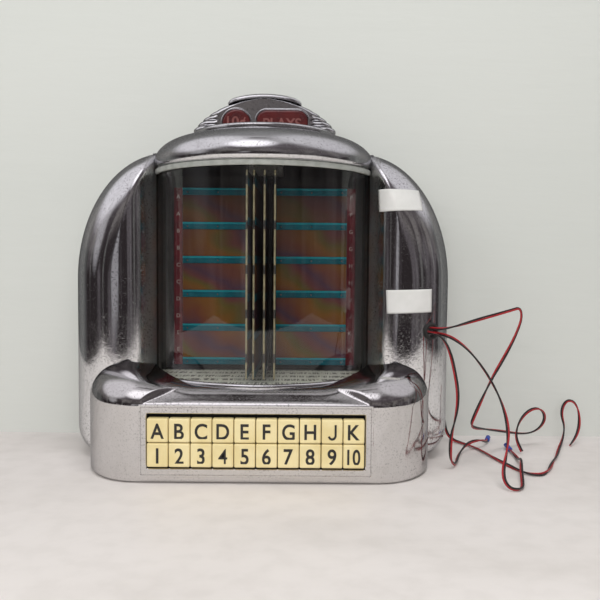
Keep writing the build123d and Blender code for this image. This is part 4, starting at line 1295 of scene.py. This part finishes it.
        slab(1.0, reach - 1.2, 0.8, (low, high), core)
        slab(reach - 1.8, reach, self.leaf_thick, (low, high), edge)
        slab(reach - 3.4, reach - 1.9, 1.1, (low, high), rim)
        for notch in np.arange(low + self.notch_first, high, self.notch_pitch):
            heights = (notch, min(notch + self.notch_high, high))
            slab(reach - 1.75, reach + 0.06, self.leaf_thick + 0.08, heights, core)
        for side in (-0.5, 0.5):
            for row in range(self.bars):
                z = self.bar_z(row)
                slab(6.0, reach - 4.2, 0.3, (max(z - 2.8, low + 0.2), min(z + 2.8, high - 0.2)), bar, side)
                if row < self.bars - 1:
                    slab(6.0, reach - 4.2, 0.14, (z + 3.2, z + self.bar_pitch - 3.2), card, side * 0.85)
        shape.prism(circle(self.pin_radius, 16), (low, high))
        shape.prism(circle(self.pin_neck, 16), (low - self.pin_reach, high + self.pin_reach))
        tilt = math.radians(self.leaf_tilts[number - 1])
        sine, cosine = math.sin(tilt), math.cos(tilt)
        turn = np.array([(sine, cosine, 0), (cosine, -sine, 0), (0, 0, 1)])
        pin = ((number - 2.5) * self.leaf_pitch, self.axis_depth, 0)
        shape.points = [points @ turn + pin for points in shape.points]
        piece = shape.build(f"page_leaf_{number}", [FINISH[name] for name in names])
        finish_piece(piece, f"leaf_{number}", "leaf_edge", f"leaf_{number}")

    def build(self) -> None:
        """Makes the window and its pages."""
        self.glass_pieces()
        self.pages()
        for number in range(1, 5):
            self.leaf(number)


# ------------------------------------------------------------------ keys
@dataclass
class Keys:
    """The bezel and the twenty keys with their inlaid legends."""

    half_width: float = 7.45
    half_height: float = 8.5
    pitch_x: float = 15.4
    pitch_z: float = 17.6
    field_z: float = 31.0
    drop: float = 0.6
    front: float = 149.0
    back: float = 142.5
    edge: float = 1.1
    dish: float = 0.28
    stem: tuple[tuple[float, float, float, float], ...] = ((2.5, 4.0, 128.0, 143.0), (4.5, 6.0, 131.2, 133.7))

    def bezel(self) -> Object:
        """The flat bezel: rounded rectangles from its back edge over a bevelled groove to the opening."""
        spec = [
            (83.5, 26.0, 0.8, 144.5), (83.5, 26.0, 0.8, 145.6), (83.1, 25.6, 0.8, 146.0),
            (82.0, 24.5, 0.8, 146.0), (81.8, 24.3, 0.8, 145.7), (81.5, 24.0, 0.8, 145.7),
            (81.3, 23.8, 0.8, 146.0), (78.1, 20.15, 0.8, 146.0), (77.6, 19.65, 0.6, 145.6),
            (77.6, 19.65, 0.6, 144.5), (83.5, 26.0, 0.8, 144.5),
        ]
        rings = [on_front(round_rectangle(w, h, c, 5), d, (0, self.field_z)) for w, h, c, d in spec]
        return Shape().grid(np.array(rings), wrap=True).build("bezel_plate", [FINISH["box_chrome"]], 20.0)

    def key(self, legend: str, x: float, z: float) -> Object:
        """One key with its stem: its edge is drawn in as a quarter circle, its face dished by a square."""
        edge, middle = self.edge, (x, z)

        def loop(drawn: float) -> Array:
            """The key's outline, drawn in."""
            return round_rectangle(self.half_width - drawn, self.half_height - drawn, 1.0, 5)

        rings = [on_front(loop(0.0), depth, middle) for depth in (self.back, self.front - edge)]
        for turn in np.radians(np.linspace(0, 90, 6))[1:]:
            drawn, fallen = edge * (1 - math.cos(turn)), edge * (1 - math.sin(turn))
            rings.append(on_front(loop(drawn), self.front - fallen, middle))
        for share in (0.94, 0.7, 0.4, 0.15):
            rings.append(on_front(loop(edge) * share, self.front - self.dish * (1 - share**2), middle))
        shape = Shape().tube(rings)
        for half_width, half_height, *depths in self.stem:
            section = round_rectangle(half_width, half_height, 0.4, 3)
            shape.tube([on_front(section, depth, (x, z + self.drop)) for depth in depths])
        cap = shape.build("keycap_" + legend.lower(), [FINISH["ivory_key"], FINISH["key_legend"]], 40.0)
        words = lettering(legend, 11.0, (x, self.front - 0.1, z - 0.6), 0.4, 0.05 if legend == "4" else 0.28)
        squeeze(words, x, 0.74 if len(legend) > 1 else 0.87)
        return join(cap, words)

    def build(self) -> None:
        """Makes the bezel and the keys and paints what lies behind them."""
        finish_piece(self.bezel(), HOUSING, "chrome", "key_bezel")
        for row, legends in enumerate(("ABCDEFGHJK", map(str, range(1, 11)))):
            for column, legend in enumerate(legends):
                x = (column - 4.5) * self.pitch_x
                z = self.field_z - self.drop + (0.5 - row) * self.pitch_z
                node = "key_" + legend.lower()
                finish_piece(self.key(legend, x, z), node, "ivory_key", node)
        paint_nodes(key_tray="black_plastic", key_switch_board="phenolic")


def squeeze(piece: Object, x: float, share: float) -> None:
    """Narrows a mesh about an upright line at x millimetres."""
    points = read_points(piece.data)
    points[:, 0] = x * MM + (points[:, 0] - x * MM) * share
    write_points(piece.data, points)


# ------------------------------------------------------------------ leads
class FarEnd(Enum):
    """What is on the far end of a lead."""

    CRIMP = "connector"
    BARE = "bare"


@dataclass(frozen=True)
class Lead:
    """One pair of wires, with its length in metres and the points of its route in millimetres."""

    name: str
    end: FarEnd
    length: float
    route: tuple[Triple, ...]
    twist: float = 9.0
    start: float = 0.0


LEADS = (
    Lead("main_lead", FarEnd.CRIMP, 0.262, (
        (134.9, 83.5, 103.9), (140.2, 92.6, 103.9), (149, 99, 101), (159, 105, 93), (169, 111, 80),
        (177, 118, 65), (182, 125, 50), (183, 132, 36), (180, 139, 23), (175.5, 146, 12.8),
        (174.8, 152, 6.2), (177.8, 156.8, 2.2), (183.6, 156.8, 1.5), (188, 151, 1.5), (191.5, 140, 1.5),
        (195, 125, 6), (199, 112, 7.6), (203, 98, 7.2), (206, 84, 2.6), (207.5, 68, 1.8),
        (208.5, 50, 2.3),
    ), 7.0, 0.4),
    Lead("kinked_lead", FarEnd.BARE, 0.364, (
        (133.3, 84.5, 107.2), (138.6, 93.6, 107.2), (148, 98.5, 109.5), (160, 97.5, 113),
        (173, 94.5, 116.5), (185, 91.5, 119.5), (196, 89.5, 122.5), (202.5, 89, 124.5), (204, 89.5, 117),
        (200.5, 91, 107), (195, 93, 96), (188, 95, 84), (180, 97, 71), (172, 100, 56), (165.5, 101, 41.5),
        (164, 96, 33), (170, 84, 28), (182, 68, 23.5), (196, 53, 19), (209, 41, 15), (222, 32, 11.5),
        (233, 27, 11), (240.5, 28, 15.5), (244, 31, 23.5), (241.5, 35, 31.5), (235, 38, 35.5),
        (227, 41, 34), (219.5, 44, 28), (214.5, 47, 19), (213.5, 51, 9.5), (216.5, 57, 2.4),
    ), 8.0, 1.5),
    Lead("inner_lead", FarEnd.CRIMP, 0.219, (
        (131.7, 85.4, 103.9), (137, 94.5, 103.9), (142.5, 100.5, 98.5), (146.5, 102.5, 88),
        (149.4, 103, 75.2), (151.7, 103.8, 62), (151.8, 104, 50), (149.9, 104.7, 39), (147, 106, 28),
        (146, 107, 17), (147, 105, 7.5), (151.5, 98, 2.2), (155.5, 87, 1.5), (159, 74, 1.6),
        (164, 61, 2.4), (171, 51, 6.2), (179, 44, 7.8), (188, 37, 7), (194.5, 28, 3), (198, 17, 2.3),
    ), 6.0, 2.4),
    Lead("back_lead", FarEnd.BARE, 0.3615, (
        (150.5, 12, 34), (156, 12, 33.6), (160.5, 11, 27), (161.5, 9.5, 16), (163, 11, 6.5),
        (167.5, 17, 1.8), (173.5, 26, 1.5), (180, 37.5, 1.5), (185, 54, 1.5), (189, 74, 1.5),
        (193.5, 94, 1.5), (198.5, 110, 1.5), (203.5, 118.5, 1.5), (211, 120.5, 1.5), (217.5, 114.5, 1.5),
        (223.5, 103.5, 1.5), (231.5, 87, 1.5), (241.5, 68, 1.5), (251, 46, 1.5), (259, 29, 2),
        (265.5, 17, 5.5), (269, 10, 13.5), (267, 7, 23), (268.2, 6.8, 31.5), (271.7, 8.3, 36.6),
        (276.5, 10.5, 36.2), (279.6, 13, 30), (280, 16, 21), (278, 19.5, 12.5), (273, 24, 5),
        (266.5, 31, 1.8),
    ), 10.0, 0.9),
)


@dataclass
class Leads:
    """The red and black pairs, the crimps on two of them and the grommets that they leave by."""

    width: float = 2.8
    sides: int = 9
    crimp_length: float = 14.0
    crimp_radius: float = 2.15
    crimp_mouth: float = 1.7
    crimp_press: float = 0.45
    crimp_waists: tuple[float, float] = (4.0, 10.0)

    def centre_line(self, lead: Lead) -> Array:
        """Points of the lead's smooth spline, in metres, read from a curve without thickness."""
        curve = bpy.data.curves.new(lead.name, "CURVE")
        curve.dimensions = "3D"
        spline = curve.splines.new("NURBS")
        control = place(np.array(lead.route))
        spline.points.add(len(control) - 1)
        spline.points.foreach_set("co", np.column_stack([control, np.ones(len(control))]).ravel())
        spline.order_u = 3
        spline.use_endpoint_u = True
        spline.resolution_u = 10
        holder = link(bpy.data.objects.new(lead.name, curve))
        line = read_points(as_mesh(holder))
        bpy.data.objects.remove(holder)
        keep = np.concatenate([[True], np.linalg.norm(np.diff(line, axis=0), axis=1) > 1e-6])
        return line[keep]

    def frames(self, line: Array) -> tuple[Array, Array]:
        """Two directions across a line at each point: a level one, carried on without flips, and another."""
        along = unit(np.gradient(line, axis=0))
        side = np.zeros_like(line)
        last = np.cross(along[0], (0, 0, 1.0))
        for i, way in enumerate(along):
            last = side[i] = unit(last - way * (last @ way))
        return side, np.cross(side, along)

    def wire(self, line: Array, turn: Array, offset: float, radius: float) -> Array:
        """One wire: a ring of the given radius about a line that winds round the pair's middle."""
        side, up = self.frames(line)
        centre = line + offset * (np.cos(turn)[:, None] * side + np.sin(turn)[:, None] * up)
        across, over = circle(1.0, self.sides).T[..., None]
        return centre[:, None] + radius * (across * side[:, None] + over * up[:, None])

    def pair(self, lead: Lead) -> None:
        """Makes one pair of wires, which lies side by side at its ends and turns slowly between them."""
        line = self.centre_line(lead)
        run = np.concatenate([[0], np.cumsum(np.linalg.norm(np.diff(line, axis=0), axis=1))])
        turn = lead.start + lead.twist * np.sin(run / run[-1] * 7.0) * 0.5
        radius = self.width * MM / 4
        shape = Shape(placed=True)
        for mark, offset in enumerate((radius, -radius)):
            shape.tube(self.wire(line, turn, offset, radius), mark)
        piece = shape.build(lead.name + "_pair", [FINISH["red_wire"], FINISH["black_wire"]], 60.0, 0.0005)
        finish_piece(piece, HOUSING, "lead_red", lead.name)
        fittings = [self.crimp(lead)] if lead.end is FarEnd.CRIMP else []

    def crimp(self, lead: Lead) -> Object:
        """A butt crimp about the lead's last run: a round profile with two waists, each a bell curve."""
        last, end = place(np.array(lead.route[-2:]))
        way = unit(end - last)
        side = unit(np.cross(way, (0, 0, 1.0)))
        up = np.cross(side, way)
        along = np.linspace(0, self.crimp_length, 43)
        pressed = sum(np.exp(-((along - waist) ** 2)) for waist in self.crimp_waists)
        radius = self.crimp_radius - self.crimp_press * pressed
        radius[[0, -1]] = self.crimp_mouth
        across, over = circle(1.0, 24).T[..., None]
        around = (1 - 0.12 * np.abs(over)) * (across * side + over * up)
        points = end + along[:, None, None] * MM * way + radius[:, None, None] * MM * around
        name = lead.name.replace("lead", "crimp")
        piece = Shape(placed=True).tube(points).build(name + "_sleeve", [FINISH["blue_crimp"]], 40.0)
        return finish_piece(piece, HOUSING, "crimp_blue", name)

    def build(self) -> None:
        """Makes all the leads and finishes the grommets."""
        for lead in LEADS:
            self.pair(lead)
        self.grommet("cable_grommet", (114.5, 52.0, 105.0), 60.0, 37.9, 4.4, 6.9)
        self.grommet("side_grommet", (114.5, 12.0, 34.0), 0.0, 37.9, 2.2, 3.9)

    def grommet(self, node: str, middle: Triple, turn: float, seat: float, hole: float, rim: float) -> None:
        """A rubber grommet: a rounded collar round a hole, turned about a level axis.

        Args:
            node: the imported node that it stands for.
            middle: a point on the axis, as x, depth and height.
            turn: the way the axis points, in degrees from +x towards the front.
            seat: how far along the axis the wall lies.
            hole: the hole's radius.
            rim: the collar's radius.
        """
        inside = [(hole, -1.6), (hole, 1.7), (hole + 0.5, 2.2)]
        outside = [(rim - 0.8, 2.2), (rim - 0.2, 1.6), (rim, 0.6), (rim, -0.6), (hole + 0.6, -1.6)]
        way = math.radians(turn)
        rows = []
        for radius, out in inside + outside + inside[:1]:
            across, up = circle(radius, 40).T
            x = middle[0] + (seat + out) * math.cos(way) - across * math.sin(way)
            depth = middle[1] + (seat + out) * math.sin(way) + across * math.cos(way)
            rows.append(np.stack([x, depth, middle[2] + up], -1))
        piece = Shape().grid(np.array(rows), wrap=True).build(node + "_collar", [FINISH["rubber"]], 50.0)
        finish_piece(piece, HOUSING, "rubber", node)


# ------------------------------------------------------------------ labels and works
@dataclass
class Labels:
    """Two blank paper labels on the right pillar, each given by its corners (x, height)."""

    lift: float = 0.18
    thick: float = 0.12
    deepest: float = 66.0
    corners: tuple[tuple[tuple[float, float], ...], ...] = (
        ((91.3, 215.9), (124.8, 216.3), (127.0, 199.9), (92.2, 198.4)),
        ((97.8, 137.2), (134.1, 138.2), (134.1, 120.1), (98.6, 118.7)),
    )

    def build(self) -> None:
        """Bends each label over the pillar: corners blended, and depth the pillar's plus a little."""
        casting = Casting()
        half = (casting.half_width - casting.shoulder_x, casting.shoulder_rise)
        across, down = np.meshgrid(np.linspace(0, 1, 25), np.linspace(0, 1, 15))
        for number, corners in enumerate(self.corners, start=1):
            a, b, c, d = (np.array(corner) for corner in corners)
            top, low = (start + across[..., None] * (end - start) for start, end in ((a, b), (d, c)))
            x, z = np.moveaxis(top + down[..., None] * (low - top), -1, 0)
            above = z - casting.shoulder_z
            drawn = ellipse_inset(x - casting.shoulder_x, above, half, self.deepest)
            drawn = np.where(above > 0, drawn, casting.half_width - x)
            grid = np.stack([x, casting.pillar_depth(x, drawn) + self.lift, z], -1)
            sheet = Shape().grid(grid).build(f"paper_label_{number}", [FINISH["paper_label"]])
            finish_piece(settle(thicken(sheet, self.thick, (0, -1, 0))), HOUSING, "cream_card")


def paint_works() -> None:
    """Finishes the works inside, which stay as they are packed."""
    paint_nodes(
        coin_chute="zinc_plate", coin_switch="black_plastic", drive_motor="dark_steel",
        stepping_bank="phenolic", latch_coil="dark_steel", terminal_strip="black_plastic", lamps="bulb_glass",
    )


# ------------------------------------------------------------------ stage
@dataclass
class Studio:
    """The table, the wall behind, the lamps and the camera."""

    wall_y: float = 0.0825
    floor_depths: tuple[float, float] = (-0.62, 2.5)
    floor_sides: tuple[float, float] = (-0.70, 0.80)
    lens: float = 43.1
    eye: Triple = (0.0305, -0.5745, 0.157)
    pitch: float = 2.86
    roll: float = 0.45
    glows: tuple[tuple[Triple, float, float, float], ...] = (
        ((-0.66, -0.10, 0.745), 0.93, 0.80, 1.5),
        ((0.60, 0.10, 0.79), 0.93, 0.80, 1.2),
        ((-0.16, -0.58, 0.79), 0.990, 0.91, 2.9),
        ((-0.90, -0.38, 0.21), 0.999, 0.975, 0.7),
        ((-0.28, -0.955, 0.0), 0.9985, 0.993, 0.6),
    )

    def camera(self) -> None:
        """Makes the camera: level, looking along +y, pitched down and rolled a little."""
        data = bpy.data.cameras.new("camera")
        data.lens, data.sensor_width = self.lens, 36.0
        eye = link(bpy.data.objects.new("camera", data))
        down = Matrix.Rotation(math.radians(90 - self.pitch), 4, "X")
        roll = Matrix.Rotation(math.radians(self.roll), 4, "Z")
        eye.matrix_world = Matrix.Translation(self.eye) @ (down @ roll)
        bpy.context.scene.camera = eye

    def plane(self, name: str, corners: Sequence[Sequence[float]], material: Material) -> None:
        """A stage plane through four corners."""
        mesh = bpy.data.meshes.new(name)
        mesh.from_pydata(corners, [], [(0, 1, 2, 3)])
        mesh.materials.append(material)
        link(bpy.data.objects.new(name, mesh))

    def table(self) -> None:
        """A pale table with faint mottling."""
        shade = Shader("table_top", Specular_IOR_Level=0.3)
        patch = shade.noise(5.0, 5.0, (1, 2.5, 1)).band(0.35, 0.7)
        mottle = (patch * 0.7 + shade.noise(60.0, 3.0).band(0.4, 0.7) * 0.3).held()
        shade.feed("Base Color", shade.mix(mottle, (0.80, 0.745, 0.72), (0.68, 0.63, 0.60)))
        shade.feed("Roughness", patch * 0.2 + 0.45)
        left, right = self.floor_sides
        front, back = self.floor_depths
        corners = [(left, front, 0), (right, front, 0), (right, back, 0), (left, back, 0)]
        self.plane("table", corners, shade.material)

    def wall(self) -> None:
        """A pale grey-green wall close behind, which only shows from the front and doesn't shade the back.

        The camera sees all of it; in reflections it fades out some way from the part, as in a furnished room.
        """
        shade = Shader("wall_paint", Roughness=0.7)
        patch = shade.noise(3.0, 3.0, (0.3, 1, 1.5)).band(0.3, 0.7)
        shade.feed("Base Color", shade.mix(patch, (0.60, 0.605, 0.575), (0.57, 0.58, 0.55)))
        shade.bump(shade.noise(50.0, 3.0, (0.4, 1, 2.0)), 0.15, 0.002)
        behind = shade.node("ShaderNodeNewGeometry", out="Backfacing")
        x, _, z = shade.axes()
        near = (1.0 - abs(x).band(0.38, 0.50)) * (1.0 - z.band(0.40, 0.55))
        mirrored = shade.ray("Glossy") * near * 0.15
        seen = shade.ray("Camera").math("MAXIMUM", mirrored).math("MAXIMUM", shade.ray("Transmission"))
        shade.surface(seen * (1.0 - behind), shade.clear(), shade.solid())
        y = self.wall_y
        self.plane("wall", [(-1.6, y, -0.2), (1.6, y, -0.2), (1.6, y, 1.8), (-1.6, y, 1.8)], shade.material)

    def lamp(self, name: str, spot: Triple, aim: Triple, size: tuple[float, float], power: float) -> None:
        """A rectangular lamp that looks at a point and isn't seen in reflections or through the glass."""
        data = bpy.data.lights.new(name, "AREA")
        data.shape, data.size, data.size_y, data.energy = "RECTANGLE", *size, power
        lamp = link(bpy.data.objects.new(name, data))
        lamp.visible_glossy = False
        lamp.visible_transmission = False
        way = Vector(aim) - Vector(spot)
        lamp.matrix_world = Matrix.Translation(spot) @ way.to_track_quat("-Z", "Y").to_matrix().to_4x4()

    def sky(self) -> None:
        """The world: pale as plain light, and in reflections a dim room with a lit ceiling.

        The room is dark brown to violet with broad blots and thin upright streaks towards the sides. The
        lights are soft round patches, speckled by fine noise, where the cosine of the angle to a given
        direction rises from one value to another. Overhead, a dark beam is an ellipse in the direction's x, y.
        """
        world = bpy.data.worlds.new("room")
        world.use_nodes = True
        bpy.context.scene.world = world
        sky = Nodes(world.node_tree, "Generated")
        x, y, z = sky.axes()
        room = sky.mix(z.band(0.0, 0.7), (0.040, 0.032, 0.034), (0.17, 0.145, 0.16))
        streaks = sky.noise(9.0, 3.0, (1, 1, 0.12)).band(0.56, 0.66) * abs(x).band(0.22, 0.7)
        belt = z.band(0.10, 0.20) * (1.0 - z.band(0.32, 0.5))
        belt = belt * sky.noise(5.0, 3.0, (1, 1, 0.4)).band(0.35, 0.6)
        for share, colour in (
            (z.band(0.72, 0.93), (0.72, 0.70, 0.72)),
            (sky.noise(3.0, 4.0).band(0.50, 0.62) * 0.55, (0.27, 0.24, 0.26)),
            (streaks * 0.4, (0.55, 0.55, 0.53)),
            (y.band(0.0, 0.25) * 0.6, (0.27, 0.275, 0.27)),
            (belt * 0.7, (0.36, 0.33, 0.32)),
        ):
            room = sky.mix(share, room, colour)
        speckle = sky.noise(70.0, 3.0).band(0.35, 0.65) * 0.4 + 0.6
        for direction, near, far, bright in self.glows:
            right, ahead, up = unit(np.array(direction)).tolist()
            glow = (x * right + y * ahead + z * up).band(far, near) * speckle
            room = sky.mix(glow, room, (bright, bright * 0.97, bright * 1.02))
        off = abs((x + 0.057) / 0.135).power(2.0) + abs((y + 0.09) / 0.042).power(2.0)
        beam = (1.0 - off.band(0.7, 1.2)) * z.above(0.5) * 0.97
        room = sky.mix(beam, room, (0.03, 0.02, 0.02))
        back = sky.tree.nodes["Background"].inputs
        sky.tree.links.new(sky.mix(sky.ray("Glossy"), (0.72, 0.74, 0.72), room).socket, back["Color"])
        back["Strength"].default_value = 0.62

    def build(self) -> None:
        """Makes the stage."""
        self.table()
        self.wall()
        self.sky()
        self.lamp("ceiling", (0.15, -0.6, 1.5), (0, 0, 0.1), (0.9, 0.5), 10.0)
        self.lamp("front_fill", (0.0, -1.2, 0.45), (0, 0, 0.14), (0.9, 0.6), 6.0)
        self.lamp("side_fill", (-0.9, -0.9, 0.8), (0, 0, 0.1), (0.5, 0.5), 3.0)


FINISH = Finishes()


def main() -> None:
    logging.basicConfig(level=logging.INFO, format="%(name)s: %(message)s")
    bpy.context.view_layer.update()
    bpy.context.scene.view_settings.view_transform = "Standard"
    studio = Studio()
    studio.camera()
    Leads().build()
    Casting().build()
    Top().build()
    Window().build()
    Keys().build()
    Labels().build()
    paint_works()
    studio.build()
    bpy.context.view_layer.update()


if __name__ == "__main__":
    main()
